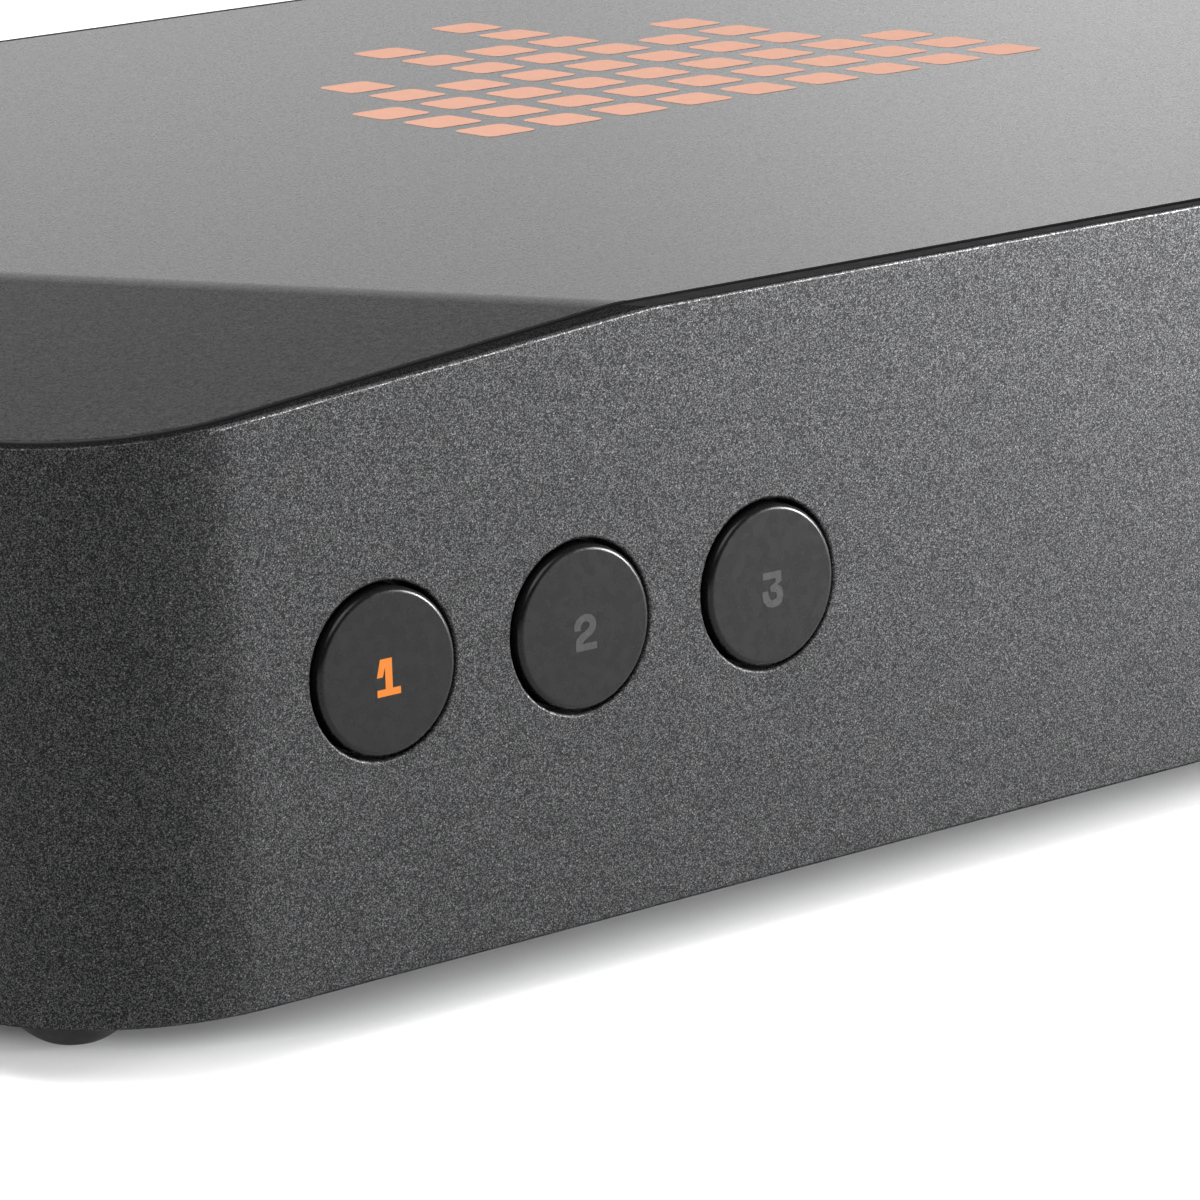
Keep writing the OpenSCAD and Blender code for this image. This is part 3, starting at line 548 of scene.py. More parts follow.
class Finish:
    """A material in the making: its nodes and its main shader."""

    def __init__(self, name):
        self.material = bpy.data.materials.new(name)
        self.material.use_nodes = True
        self.tree = self.material.node_tree
        self.shader = self.tree.nodes["Principled BSDF"]
        self.place = add_node(self.tree, "TexCoord").outputs["Object"]

    def set(self, **values):
        """Fills the shader's own sockets."""
        for key, value in values.items():
            fill(self.tree, self.shader.inputs[key.replace("_", " ")], value)

    def stretched(self, scale):
        """Object coordinates stretched along the axes."""
        return add_node(self.tree, "Mapping", Scale=scale, Vector=self.place).outputs["Vector"]

    def noise(self, scale, detail=3, place=None):
        """Soft noise, from 0 to 1."""
        node = add_node(
            self.tree, "TexNoise", Scale=scale, Detail=detail, Vector=place or self.place)
        return node.outputs["Fac"]

    def cells(self, scale):
        """A random value for each of many small cells."""
        node = add_node(self.tree, "TexVoronoi", Scale=scale, Vector=self.place)
        split = add_node(self.tree, "SeparateColor", Color=node.outputs["Color"])
        return split.outputs["Red"]

    def range(self, value, low, high, to_low, to_high):
        """A value mapped from one range to another."""
        return map_range(self.tree, value, low, high, to_low, to_high)

    def uneven(self, noise, low, high):
        """Soft noise spread between two values."""
        return self.range(noise, *NOISE_SPAN, low, high)

    def mix(self, factor, a, b):
        """A colour between two colours."""
        node = add_node(self.tree, "Mix")
        node.data_type = "RGBA"
        fill(self.tree, node.inputs["Factor"], factor)
        for socket, colour in zip((s for s in node.inputs if s.type == "RGBA"), (a, b)):
            fill(self.tree, socket, colour)
        return next(s for s in node.outputs if s.type == "RGBA")

    def bump(self, height, strength, distance):
        """Small relief on the surface."""
        node = add_node(self.tree, "Bump", Height=height, Strength=strength, Distance=distance)
        self.set(Normal=node.outputs["Normal"])

    def edges(self, low=0.52, high=0.62):
        """How worn an edge is: 1 along outer edges and 0 on flat faces."""
        node = add_node(self.tree, "NewGeometry")
        return self.range(node.outputs["Pointiness"], low, high, 0, 1)


def shade(colour, factor):
    """A colour made lighter or darker."""
    return tuple(min(1, c * factor) for c in colour[:3]) + (1,)


def flake_paint(name, looks, level=1.0):
    """Dark metallic paint with a fine bright flake; a level below 1 makes a darker copy for painted
    shade, and one above 1 a lighter copy for a painted highlight.
    """
    f = Finish(name)
    fine = f.range(f.cells(15500), 0.5, 1.0, 0, 0.6)
    bright = f.range(f.cells(12500), 0.93, 1.0, 0, 1)
    flake = arithmetic(f.tree, "MAXIMUM", fine, bright)
    ground = f.mix(f.cells(17000), shade(looks.paint, 0.5 * level), shade(looks.paint, 1.4 * level))
    f.set(Base_Color=f.mix(flake, ground, shade(looks.flake, level)))
    f.set(Metallic=f.range(flake, 0, 1, 0.75, 0.95))
    f.set(Roughness=f.uneven(f.noise(900, 2), 0.44, 0.52))
    f.bump(f.cells(9000), 0.12, 0.03 * MM)
    f.set(IOR=1.45, Specular_IOR_Level=0.25, Specular_Tint=(0.3, 0.3, 0.3, 1))
    return f.material


def satin_panel(name, colour):
    """Smooth satin lacquer with a faint mottle."""
    f = Finish(name)
    ground = f.mix(f.cells(7200), shade(colour, 0.45), shade(colour, 1.75))
    specks = f.range(f.cells(6200), 0.85, 1.0, 0, 0.9)
    f.set(Base_Color=f.mix(specks, ground, shade(colour, 0.2)))
    f.set(Roughness=f.range(f.cells(7400), 0.2, 1.0, 0.24, 0.29))
    f.bump(f.cells(9500), 0.008, 0.02 * MM)
    f.set(IOR=1.5)
    return f.material


def printed_ink(name, colour):
    """Screen-printed ink, a little uneven."""
    f = Finish(name)
    f.set(Base_Color=f.mix(f.noise(900, 4), shade(colour, 0.93), shade(colour, 1.05)))
    f.set(Roughness=f.uneven(f.noise(2400, 2), 0.42, 0.55))
    f.bump(f.noise(5200, 2), 0.12, 0.02 * MM)
    return f.material


def moulded(name, colour, rough=0.45, grain=2600, relief=0.15, wear=1.5):
    """Moulded plastic with a fine grain and slightly paler edges."""
    f = Finish(name)
    ground = f.mix(f.noise(grain * 0.3, 3), shade(colour, 0.85), shade(colour, 1.15))
    f.set(Base_Color=f.mix(f.edges(), ground, shade(colour, wear)))
    f.set(Roughness=f.uneven(f.noise(grain * 0.5, 2), rough - 0.06, rough + 0.06))
    f.bump(f.noise(grain, 2), relief, 0.03 * MM)
    return f.material


def coated_sheet(name, colour):
    """Powder coat on sheet metal: a dense fine pebble."""
    f = Finish(name)
    f.set(Base_Color=f.mix(f.noise(1800, 3), shade(colour, 0.8), shade(colour, 1.25)))
    f.set(Roughness=f.uneven(f.noise(1100, 3), 0.5, 0.64))
    f.bump(f.noise(2900, 4), 0.35, 0.08 * MM)
    return f.material


def metal(name, colour, rough, stretch=(1, 1, 1)):
    """Bare or plated metal with fine lines along one axis."""
    f = Finish(name)
    lines = f.noise(1800, 3, f.stretched(stretch))
    f.set(Base_Color=f.mix(lines, shade(colour, 0.82), shade(colour, 1.12)))
    f.set(Roughness=f.uneven(lines, rough - 0.07, rough + 0.09))
    f.bump(lines, 0.08, 0.02 * MM)
    f.set(Metallic=1.0)
    return f.material


def circuit_board(name):
    """Solder mask over copper tracks."""
    f = Finish(name)
    tracks = f.range(f.cells(420), 0.62, 0.66, 0, 1)
    mask = f.mix(f.noise(1400, 3), (0.010, 0.075, 0.032, 1), (0.016, 0.105, 0.046, 1))
    f.set(Base_Color=f.mix(tracks, mask, (0.028, 0.16, 0.07, 1)))
    f.set(Roughness=f.uneven(f.noise(900, 2), 0.28, 0.4))
    f.bump(tracks, 0.2, 0.03 * MM)
    return f.material


def cap_gloss(name, colour):
    """Smooth dark plastic with a soft polish."""
    f = Finish(name)
    f.set(Base_Color=f.mix(f.noise(1600, 3), shade(colour, 0.9), shade(colour, 1.1)))
    f.set(Roughness=f.uneven(f.noise(1300, 2), 0.24, 0.31))
    f.bump(f.noise(3600, 2), 0.06, 0.02 * MM)
    f.set(IOR=1.3)
    return f.material


def lit_digit(name, colour):
    """A digit that glows evenly through its window."""
    f = Finish(name)
    glow = f.mix(f.noise(1100, 2), shade(colour, 0.94), shade(colour, 1.06))
    f.set(Base_Color=f.mix(f.noise(1100, 2), shade(colour, 0.04), shade(colour, 0.06)))
    f.set(Emission_Color=glow)
    f.set(Roughness=0.3, IOR=1.33, Emission_Strength=0.85)
    return f.material


# Operators, one for each piece or group of like pieces

class PROCESSOR_OT_casing(bpy.types.Operator):
    """Round the edges of the body shell, base plate and rear panel, and paint them, with painted
    shade on the shell's rim and on the base plate and a painted highlight on the shell's long top
    edges
    """

    bl_idname = "processor.casing"
    bl_label = "Casing"

    def execute(self, context):
        looks = context.scene.processor_casing
        rear = context.scene.processor_rear
        shell = solid_copy("body_shell", "casing_shell")
        round_edges(shell, looks.edge_round, 3, creased=True)
        finished(shell, ROOT, "casing_paint", flake_paint("flake_paint", looks), "body_shell")
        foot_of_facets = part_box("body_shell")[1].z - FACET_DROP
        # The flat rim round the top panel gets a darker copy of the paint: painted shade
        repaint(shell, flake_paint("land_paint", looks, RIM_SHADE_LEVEL), lambda face: (
            face.normal.z > FLAT_UP and face.calc_center_median().z > foot_of_facets))
        # The rounded long edges along the top get a much lighter copy of the paint: a painted
        # highlight
        repaint(shell, flake_paint("edge_paint", looks, EDGE_HIGHLIGHT_LEVEL), lambda face: (
            EDGE_UP < face.normal.z < FLAT_UP and abs(face.normal.x) < HIGHLIGHT_ASIDE
            and face.calc_center_median().z > foot_of_facets))
        sheet = coated_sheet("coated_sheet", rear.sheet)
        # The base plate gets a darker copy of the coat: painted shade under the casing
        dark_sheet = coated_sheet("dark_sheet", shade(rear.sheet, PAINTED_SHADE_FACTOR))
        for node, finish in (("base_plate", dark_sheet), ("rear_panel", sheet)):
            plate = solid_copy(node, node + "_sheet")
            round_edges(plate, rear.edge_round, 2)
            finished(plate, ROOT, "sheet_black", finish, node)
        return {"FINISHED"}


class PROCESSOR_OT_top_panel(bpy.types.Operator):
    """Round the edge of the top panel, darken that edge as painted shade, and print a level meter
    on it
    """

    bl_idname = "processor.top_panel"
    bl_label = "Top Panel"

    def execute(self, context):
        looks = context.scene.processor_casing
        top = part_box("top_panel")[1].z
        sunk = SINK * looks.ink_t
        edge = 1.5 * looks.panel_round
        panel = solid_copy("top_panel", "top_panel_lid")
        soften_creases(panel, looks.crease_round)
        round_edges(panel, looks.panel_round, 3)
        edit(panel, "VERT")
        pick(panel, "VERT", lambda v: v.co.z > top - edge)
        bpy.ops.transform.translate(value=(0, 0, -sunk))
        close()
        finished(panel, ROOT, "panel_satin", satin_panel("satin_panel", looks.panel), "top_panel")
        # The panel's rounded edge and sides get a darker, rougher coat: painted shade along the gap
        repaint(panel, moulded("panel_edge", shade(looks.panel, PAINTED_SHADE_FACTOR), rough=0.7, wear=1.0),
                lambda face: face.normal.z < LID_UP)

        half = looks.segment_w / 2
        segment = primitive(
            bpy.ops.mesh.primitive_plane_add, "level_meter", size=looks.segment_w,
            location=(0, 0, top - sunk))
        edit(segment, "VERT")
        bpy.ops.mesh.select_all(action="SELECT")
        bpy.ops.mesh.bevel(offset=half * SEGMENT_ROUND, segments=4, affect="VERTICES")
        bpy.ops.mesh.select_all(action="SELECT")
        extrude(0, 0, looks.ink_t)
        face_outward()
        close()
        left = -looks.column_pitch * (len(METER_COLUMNS) - 1) / 2
        front = looks.meter_front + half
        places = [(left + i * looks.column_pitch, front + j * looks.row_pitch, 0)
                  for i, rows in enumerate(METER_COLUMNS) for j in range(rows)]
        meter = join(copy_to(segment, places), "level_meter")
        finished(meter, ROOT, "panel_satin", printed_ink("orange_ink", looks.ink))
        return {"FINISHED"}


class PROCESSOR_OT_feet(bpy.types.Operator):
    """Slice the four domed rubber feet out of balls"""

    bl_idname = "processor.feet"
    bl_label = "Feet"

    def execute(self, context):
        rear = context.scene.processor_rear
        rubber = moulded("foot_rubber", rear.rubber, rough=0.62, grain=1900, relief=0.3, wear=1.8)
        for end in ("front", "rear"):
            for side in SIDES:
                self.foot(f"foot_{end}_{side}", rubber)
        return {"FINISHED"}

    def foot(self, node, rubber):
        """One foot in the box of its node."""
        low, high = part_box(node)
        height = high.z - low.z
        wide = (high.x - low.x) / 2
        centre = (wide ** 2 + height ** 2 - FOOT_TIP ** 2) / (2 * height)
        spot = (low + high) / 2
        obj = primitive(
            bpy.ops.mesh.primitive_uv_sphere_add, node + "_dome", segments=64, ring_count=40,
            radius=math.hypot(FOOT_TIP, centre), location=(spot.x, spot.y, centre))
        for level, up in ((high.z, 1), (low.z, -1)):
            edit(obj)
            bpy.ops.mesh.select_all(action="SELECT")
            bpy.ops.mesh.bisect(
                plane_co=(0, 0, level), plane_no=(0, 0, up), use_fill=True, clear_outer=True,
                threshold=1e-7)
            close()
        smooth(obj)
        finished(obj, ROOT, "foot_rubber", rubber, node)


class PROCESSOR_OT_buttons(bpy.types.Operator):
    """Turn the three button caps and set their digits"""

    bl_idname = "processor.buttons"
    bl_label = "Buttons"

    def execute(self, context):
        looks = context.scene.processor_buttons
        cap = cap_gloss("cap_gloss", looks.cap)
        lit = lit_digit("digit_lit", looks.lit)
        unlit = cap_gloss("digit_unlit", looks.unlit)
        for number in BUTTONS:
            self.cap(number, looks, cap)
            self.digit(number, looks, lit if number == looks.lit_number else unlit)
        return {"FINISHED"}

    def cap(self, number, looks, material):
        """A cap: a round front, a flange behind it and a bore for the light guide."""
        node = f"button_cap_{number}"
        low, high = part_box(node)
        spot = (low + high) / 2
        guide_low, guide_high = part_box(f"light_guide_{number}")
        flange_r = (high.x - low.x) / 2
        cap_r = flange_r - FLANGE_W
        bore_r = (guide_high.x - guide_low.x) / 2 + GUIDE_PLAY
        flange_y = high.y - FLANGE_T
        front_y = low.y + SINK * looks.digit_t
        obj = add_cylinder(
            node + "_dome", cap_r, (spot.x, flange_y, spot.z), (spot.x, front_y, spot.z), 128)
        edit(obj)
        pick(obj, "EDGE", all_at(1, front_y))
        bpy.ops.mesh.bevel(offset=looks.edge_round, segments=6, affect="EDGES", profile=0.5)
        pick(obj, "FACE", all_at(1, flange_y))
        bpy.ops.mesh.extrude_region_move()
        grow = flange_r / cap_r
        bpy.ops.transform.resize(value=(grow, 1, grow), center_override=(spot.x, flange_y, spot.z))
        extrude(0, high.y - flange_y, 0)
        bpy.ops.mesh.inset(thickness=flange_r - bore_r)
        extrude(0, guide_low.y - high.y, 0)
        face_outward()
        close()
        smooth(obj)
        finished(obj, f"button_{number}", "button_gloss", material, node)

    def digit(self, number, looks, material):
        """A digit: a thin layer on the front of its cap."""
        low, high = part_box(f"button_cap_{number}")
        spot = (low + high) / 2
        outline = DIGITS[number]
        back = low.y + SINK * looks.digit_t
        middle = spot.z - looks.digit_drop
        obj = primitive(
            bpy.ops.mesh.primitive_circle_add, f"digit_{number}", vertices=len(outline),
            radius=looks.digit_w, fill_type="NGON")
        for vertex, (u, v) in zip(obj.data.vertices, outline):
            vertex.co = (
                spot.x + (u - 0.5) * looks.digit_w, back, middle + (v - 0.5) * looks.digit_h)
        edit(obj)
        bpy.ops.mesh.select_all(action="SELECT")
        extrude(0, -looks.digit_t, 0)
        face_outward()
        close()
        finished(obj, f"button_{number}", "guide_clear", material)


class PROCESSOR_OT_audio_sockets(bpy.types.Operator):
    """Round the edges of the audio sockets' pieces and give them their finishes"""

    bl_idname = "processor.audio_sockets"
    bl_label = "Audio Sockets"

    def execute(self, context):
        rear = context.scene.processor_rear
        black = moulded("socket_black", rear.socket, rough=0.42)
        insert = moulded("insert_black", shade(rear.socket, 0.7), rough=0.5)
        gold = metal("contact_gold", rear.gold, 0.25)
        silver = metal("pin_silver", shade(rear.steel, 1.5), 0.2, (1, 0.1, 1))
        steel = metal("latch_steel", rear.steel, 0.32, (0.05, 1, 1))
        small = rear.edge_round / 2
        for side in SIDES:
            dress((
                (f"input_housing_{side}", ROOT, "socket_black", black, rear.edge_round),
                (f"output_housing_{side}", ROOT, "socket_black", black, rear.edge_round),
                (f"input_insert_{side}", ROOT, "socket_black", insert, small),
                (f"input_contacts_{side}", ROOT, "contact_gold", gold, small),
                (f"output_pins_{side}", ROOT, "pin_silver", silver, small),
                (f"input_latch_{side}", f"latch_{side}", "latch_steel", steel, rear.edge_round)))
        return {"FINISHED"}


class PROCESSOR_OT_rear_fittings(bpy.types.Operator):
    """Finish the data socket, the power inlet and the power switch"""

    bl_idname = "processor.rear_fittings"
    bl_label = "Rear Fittings"

    def execute(self, context):
        rear = context.scene.processor_rear
        black = moulded("fitting_black", rear.socket, rough=0.4)
        gloss = moulded("rocker_gloss", rear.socket, rough=0.28, relief=0.05)
        steel = metal("shell_steel", rear.steel, 0.28, (1, 0.05, 1))
        silver = metal("inlet_silver", shade(rear.steel, 1.5), 0.2)
        small = rear.edge_round / 2
        dress((
            ("usb_shell", ROOT, "latch_steel", steel, small),
            ("usb_tongue", ROOT, "socket_black", black, small / 2),
            ("dc_jack", ROOT, "socket_black", black, rear.edge_round),
            ("dc_pin", ROOT, "pin_silver", silver, small),
            ("switch_housing", ROOT, "switch_black", black, rear.edge_round),
            ("power_rocker", "rocker", "rocker_gloss", gloss, rear.edge_round)))
        self.marks(rear)
        return {"FINISHED"}

    def marks(self, rear):
        """A bar on the upper half of the rocker and a ring on the lower, sloping half."""
        low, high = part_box("power_rocker")
        spot = (low + high) / 2
        points = [v.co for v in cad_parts["power_rocker"].data.vertices]
        face = max(point.y for point in points if point.z > spot.z + MM)
        away, bar_w, bar_h = 2.6 * MM, 0.4 * MM, 1.9 * MM
        ring_r, bore_r = 0.95 * MM, 0.6 * MM
        bar = add_block(
            "rocker_marks", (spot.x - bar_w / 2, face, spot.z + away - bar_h / 2),
            (spot.x + bar_w / 2, face + rear.mark_t, spot.z + away + bar_h / 2))
        ring = add_cylinder("ring", ring_r, (0, 0, -away), (0, rear.mark_t, -away), 48)
        cut(ring, add_cylinder("bore", bore_r, (0, -MM, -away), (0, MM, -away), 48))
        ring.location = (spot.x, face, spot.z)
        ring.rotation_euler.x = rear.rocker_slope
        settle(ring)
        marks = join([bar, ring], "rocker_marks")
        finished(marks, "rocker", "rocker_gloss", printed_ink("mark_ink", rear.mark))


class PROCESSOR_OT_screws(bpy.types.Operator):
    """Model one screw of each kind and copy it to its places"""

    bl_idname = "processor.screws"
    bl_label = "Screws"

    def execute(self, context):
        rear = context.scene.processor_rear
        oxide = metal("black_oxide", rear.oxide, 0.38)
        heads = self.places("socket_screws", 1)
        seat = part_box("socket_screws")[1].y - PAN_SCREW["head_h"]
        screw = self.pan_screw("socket_screw_set", **PAN_SCREW)
        piece = join(copy_to(screw, [(x, seat, z) for x, z in heads]), "socket_screw_set")
        smooth(piece)
        finished(piece, ROOT, "screw_black", oxide, "socket_screws")

        spots = self.places("base_screws", 2)
        low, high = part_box("base_screws")
        screw = self.flat_screw("base_screw_set", high.z - low.z, **FLAT_SCREW)
        piece = join(copy_to(screw, [(x, y, low.z) for x, y in spots]), "base_screw_set")
        smooth(piece)
        finished(piece, ROOT, "screw_black", oxide, "base_screws")
        return {"FINISHED"}

    def places(self, node, axis):
        """The middles of a node's separate solids, across an axis."""
        mesh = bmesh.new()
        mesh.from_mesh(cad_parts[node].data)
        bmesh.ops.remove_doubles(mesh, verts=mesh.verts, dist=SLACK)
        left = set(mesh.verts)
        keep = [i for i in range(3) if i != axis]
        found = []
        while left:
            island, waiting = set(), [left.pop()]
            while waiting:
                vertex = waiting.pop()
                island.add(vertex)
                for link in vertex.link_edges:
                    other = link.other_vert(vertex)
                    if other in left:
                        left.remove(other)
                        waiting.append(other)
            found.append(tuple(
                (min(v.co[i] for v in island) + max(v.co[i] for v in island)) / 2 for i in keep))
        mesh.free()
        return sorted(found)

    def pan_screw(self, name, head_r, head_h, shank_r, shank_l):
        """A round-headed screw along +Y with a crossed recess."""
        obj = add_cylinder(name, head_r, (0, 0, 0), (0, head_h, 0), 48)
        edit(obj)
        pick(obj, "EDGE", all_at(1, head_h))
        dome = 0.62 * head_h
        bpy.ops.mesh.bevel(offset=dome, segments=6, affect="EDGES")
        pick(obj, "FACE", all_at(1, 0))
        bpy.ops.mesh.inset(thickness=head_r - shank_r)
        extrude(0, -shank_l, 0)
        face_outward()
        close()
        arm, half, deep = 1.35 * MM, 0.26 * MM, 0.8 * MM
        cut(obj, add_block("recess", (-arm, head_h - deep, -half), (arm, head_h + deep, half)))
        cut(obj, add_block("recess", (-half, head_h - deep, -arm), (half, head_h + deep, arm)))
        return obj

    def flat_screw(self, name, length, head_r, head_h, shank_r):
        """A countersunk screw along +Z, its head at the bottom, with a six-sided recess."""
        obj = primitive(
            bpy.ops.mesh.primitive_cone_add, name, vertices=48, radius1=head_r, radius2=shank_r,
            depth=head_h, location=(0, 0, head_h / 2))
        edit(obj)
        pick(obj, "FACE", all_at(2, head_h))
        extrude(0, 0, length - head_h)
        close()
        recess_r, deep, out = 1.15 * MM, 0.9 * MM, 0.5 * MM
        cut(obj, add_cylinder("recess", recess_r, (0, 0, -out), (0, 0, deep), 6))
        return obj


class PROCESSOR_OT_inner_parts(bpy.types.Operator):
    """Give every piece inside the casing its finish"""

    bl_idname = "processor.inner_parts"
    bl_label = "Inner Parts"

    def execute(self, context):
        rear = context.scene.processor_rear
        black = moulded("inner_black", (0.03, 0.03, 0.031, 1), rough=0.5)
        white = moulded("inner_white", (0.72, 0.70, 0.64, 1), rough=0.45, wear=1.1)
        chip = moulded("chip_black", (0.016, 0.016, 0.017, 1), rough=0.55, grain=3600)
        brass = metal("brass", (0.72, 0.53, 0.22, 1), 0.3, (1, 1, 0.2))
        zinc = metal("zinc", rear.steel, 0.34)
        board = circuit_board("circuit_board")
        clear = moulded("milky_clear", (0.82, 0.80, 0.75, 1), rough=0.22, relief=0.05, wear=1.05)
        sleeve = moulded("can_sleeve", (0.018, 0.028, 0.045, 1), rough=0.3)
        ferrite = moulded("ferrite", (0.035, 0.035, 0.036, 1), rough=0.7, grain=900, relief=0.4)
        red = moulded("plunger_red", (0.42, 0.05, 0.03, 1), rough=0.4)
        finishes = {
            "lid_pillars": brass, "board_standoffs": brass, "switch_terminals": brass,
            "board_screws": zinc, "button_board_screws": zinc, "rear_panel_screws": zinc,
            "main_board": board, "button_board": board, "button_guide": black,
            "signal_chip": chip, "converter_chips": chip, "bypass_relays": white,
            "ribbon_cable": white, "ribbon_sockets": white, "button_leds": clear,
            "filter_capacitors": sleeve, "power_inductor": ferrite,
        }
        for number in BUTTONS:
            finishes[f"light_guide_{number}"] = clear
            finishes[f"switch_plunger_{number}"] = red
            finishes[f"tact_switch_{number}"] = black
        for node, material in finishes.items():
            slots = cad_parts[node].data.materials
            slots.clear()
            slots.append(material)
        return {"FINISHED"}


class PROCESSOR_OT_stage(bpy.types.Operator):
    """Set up the camera, the floor, the lights and the world"""

    bl_idname = "processor.stage"
    bl_label = "Stage"

    def execute(self, context):
        stage = context.scene.processor_stage
        context.scene.view_settings.view_transform = "Standard"
        self.camera(context, stage)
        self.floor(stage)
        lamps = {kind: self.light(kind, getattr(stage, kind + "_power")) for kind in LIGHTS}
        self.flag(lamps["key"], bpy.data.objects["top_panel_lid"], bpy.data.objects["level_meter"])
        self.world(context)
        return {"FINISHED"}

    def camera(self, context, stage):
        """A camera that stands and looks as the photographer's did."""
        bpy.ops.object.camera_add()
        camera = bpy.context.object
        camera.name = "picture_camera"
        aim = Euler((math.pi / 2 - stage.dip, 0, -stage.heading)).to_matrix().to_4x4()
        roll = Matrix.Rotation(stage.roll, 4, "Z")
        camera.matrix_world = Matrix.Translation(stage.camera_at) @ aim @ roll
        camera.data.lens = stage.lens
        camera.data.sensor_width = SENSOR_W
        camera.data.clip_start = CLIP_START
        camera.data.clip_end = CLIP_END
        context.scene.camera = camera

    def floor(self, stage):
        """A wide pale floor that looks white and keeps the shadow, with a painted shadow close
        round the object where it glows less.
        """
        floor = primitive(bpy.ops.mesh.primitive_plane_add, "studio_floor", size=FLOOR_SIZE)
        material = bpy.data.materials.new("studio_floor")
        material.use_nodes = True
        tree = material.node_tree
        tree.nodes.clear()
        path = add_node(tree, "LightPath")
        straight = path.outputs["Is Camera Ray"]
        for kind in ("Is Glossy Ray", "Is Transmission Ray"):
            straight = arithmetic(tree, "MAXIMUM", straight, path.outputs[kind])
        matt = add_node(tree, "MixShader", Fac=straight)
        for place, colour in ((1, stage.floor_bounce), (2, stage.floor)):
            coat = add_node(tree, "BsdfDiffuse", Color=colour)
            tree.links.new(coat.outputs["BSDF"], matt.inputs[place])
        reach = self.reach(tree)
        # The first step paints a shadow: the floor glows little under and close to the object's
        # edge
        fades = [map_range(tree, reach, OUTLINE_ROUND + near, OUTLINE_ROUND + far, weak, strong,
                           kind="SMOOTHSTEP") for near, far, weak, strong in FLOOR_GLOW_AND_PAINTED_SHADOW]
        glow = add_node(tree, "Emission", Color=straight, Strength=arithmetic(tree, "ADD", *fades))
        seen = add_node(tree, "AddShader")
        for socket, shader in zip(seen.inputs, (matt, glow)):
            tree.links.new(shader.outputs[0], socket)
        add_node(tree, "OutputMaterial", Surface=seen.outputs["Shader"])
        floor.data.materials.append(material)

    def reach(self, tree):
        """Distance on the floor from the middles of the round corners of the object's outline."""
        place = add_node(tree, "TexCoord").outputs["Object"]
        core = CAD_BOX[1] - Vector((OUTLINE_ROUND,) * 3)
        steps = (("ABSOLUTE", None), ("SUBTRACT", core), ("MAXIMUM", (0, 0, 0)), ("LENGTH", None))
        for kind, value in steps:
            step = add_node(tree, "VectorMath")
            step.operation = kind
            tree.links.new(place, step.inputs[0])
            if value is not None:
                step.inputs[1].default_value = value
            place = step.outputs["Value" if kind == "LENGTH" else "Vector"]
        return place

    def light(self, kind, power):
        """A soft light that faces the object, through a grid where its spread is narrow."""
        place, (width, height), spread = LIGHTS[kind]
        bpy.ops.object.light_add(type="AREA", location=place)
        lamp = bpy.context.object
        lamp.name = kind + "_light"
        lamp.data.shape = "RECTANGLE"
        lamp.data.size = width
        lamp.data.size_y = height
        lamp.data.energy = power
        lamp.data.spread = math.radians(spread)
        lamp.rotation_euler = (-Vector(place)).to_track_quat("-Z", "Y").to_euler()
        lamp.visible_camera = False
        return lamp

    def flag(self, lamp, *objects):
        """Keeps a light off some objects, so that no hard reflection of it shows there."""
        kept_dark = bpy.data.collections.new(lamp.name + "_flag")
        for obj in objects:
            kept_dark.objects.link(obj)
        for link in kept_dark.collection_objects:
            link.light_linking.link_state = "EXCLUDE"
        lamp.light_linking.receiver_collection = kept_dark

    def world(self, context):
        """A room that is pale behind the object near the horizon and dim elsewhere."""
        world = bpy.data.worlds.new("studio_room")
        context.scene.world = world
        world.use_nodes = True
        tree = world.node_tree
        tree.nodes.clear()
        place = add_node(tree, "TexCoord").outputs["Generated"]
        split = add_node(tree, "SeparateXYZ", Vector=place)
        up, back, right = (map_range(tree, split.outputs[axis], *ends, kind="SMOOTHSTEP")
                           for axis, ends in ROOM_BAND.items())
        band = arithmetic(tree, "MULTIPLY", arithmetic(tree, "MULTIPLY", up, back), right)
        lit = arithmetic(tree, "ADD", band, ROOM_DIM)
        seen = add_node(tree, "LightPath").outputs["Is Camera Ray"]
        strength = arithmetic(tree, "MAXIMUM", lit, seen)
        ground = add_node(tree, "Background", Color=(1, 1, 1, 1), Strength=strength)
        add_node(tree, "OutputWorld", Surface=ground.outputs["Background"])


OPERATORS = (
    PROCESSOR_OT_casing, PROCESSOR_OT_top_panel, PROCESSOR_OT_feet, PROCESSOR_OT_buttons,
    PROCESSOR_OT_audio_sockets, PROCESSOR_OT_rear_fittings, PROCESSOR_OT_screws,
    PROCESSOR_OT_inner_parts, PROCESSOR_OT_stage)


class PROCESSOR_PT_tools(bpy.types.Panel):
    """Lists the steps that dress the processor, and their settings"""

    bl_idname = "PROCESSOR_PT_tools"
    bl_label = "Processor"
    bl_space_type = "VIEW_3D"
    bl_region_type = "UI"
    bl_category = "Processor"

    def draw(self, context):
        for operator in OPERATORS:
            self.layout.operator(operator.bl_idname)
        for group in GROUPS:
            settings = getattr(context.scene, group)
            box = self.layout.box()
            for key in settings.bl_rna.properties.keys():
                if key not in ("rna_type", "name"):
                    box.prop(settings, key)


GROUPS = {
    "processor_casing": ProcessorCasing,
    "processor_buttons": ProcessorButtons,
    "processor_rear": ProcessorRear,
    "processor_stage": ProcessorStage,
}
CLASSES = (*GROUPS.values(), *OPERATORS, PROCESSOR_PT_tools)


def register():
    """Registers the classes and hangs the settings on the scene."""
    for cls in CLASSES:
        bpy.utils.register_class(cls)
    for name, group in GROUPS.items():
        setattr(bpy.types.Scene, name, PointerProperty(type=group))


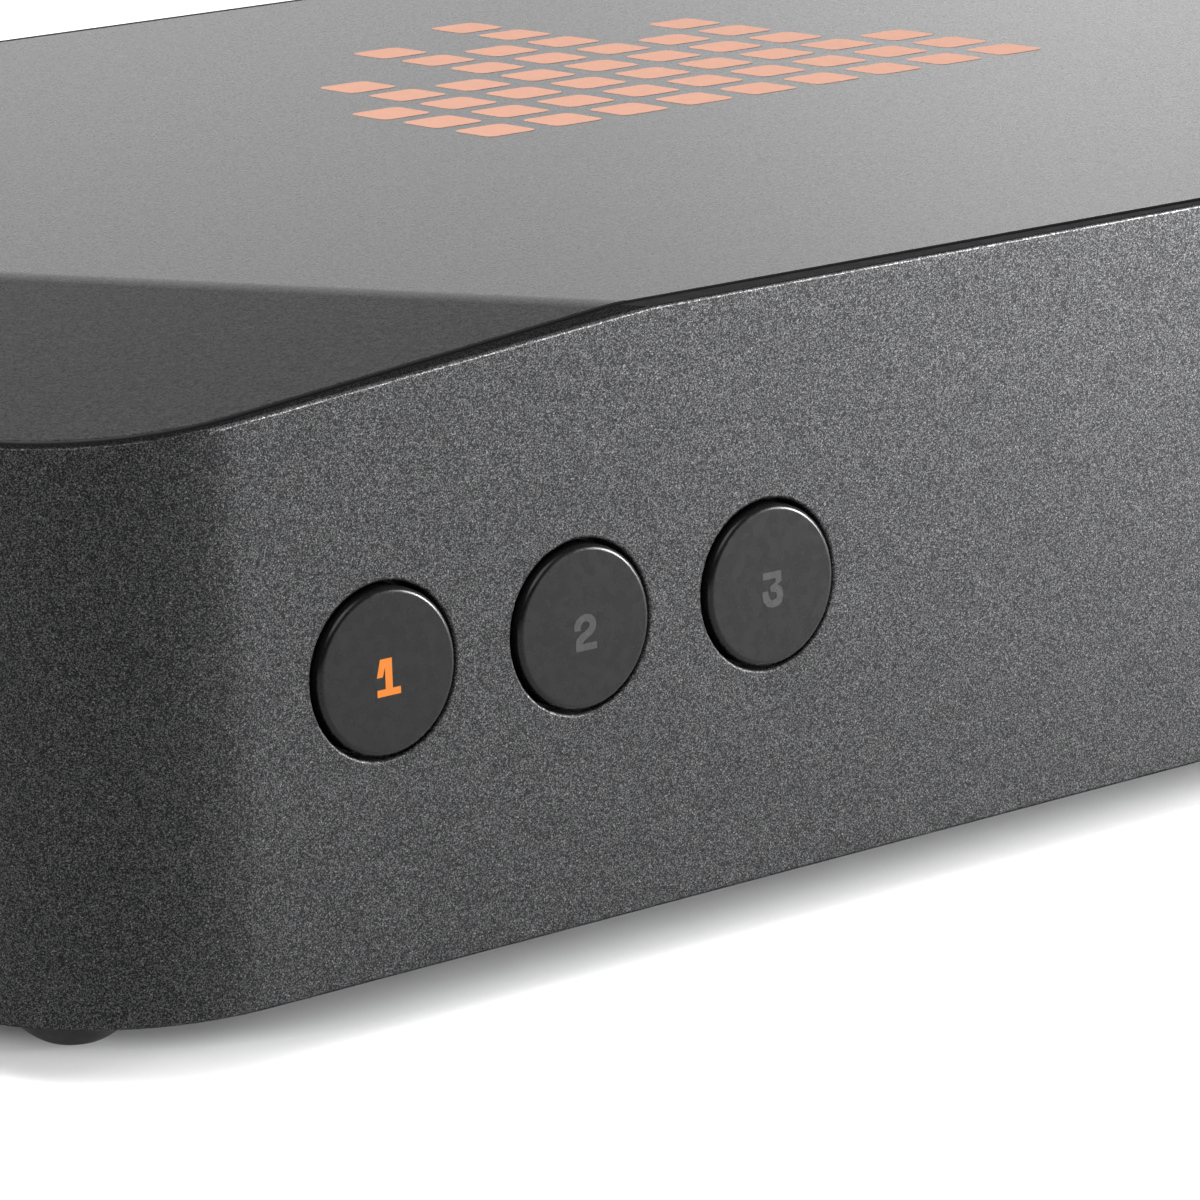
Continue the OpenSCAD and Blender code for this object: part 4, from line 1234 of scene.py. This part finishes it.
def unregister():
    """Takes the settings and the classes away again."""
    for name in GROUPS:
        delattr(bpy.types.Scene, name)
    for cls in reversed(CLASSES):
        bpy.utils.unregister_class(cls)


def main():
    """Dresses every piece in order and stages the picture."""
    register()
    bpy.ops.processor.casing()
    bpy.ops.processor.top_panel()
    bpy.ops.processor.feet()
    bpy.ops.processor.buttons()
    bpy.ops.processor.audio_sockets()
    bpy.ops.processor.rear_fittings()
    bpy.ops.processor.screws()
    bpy.ops.processor.inner_parts()
    bpy.ops.processor.stage()
    clear_selection()


if __name__ == "__main__":
    main()
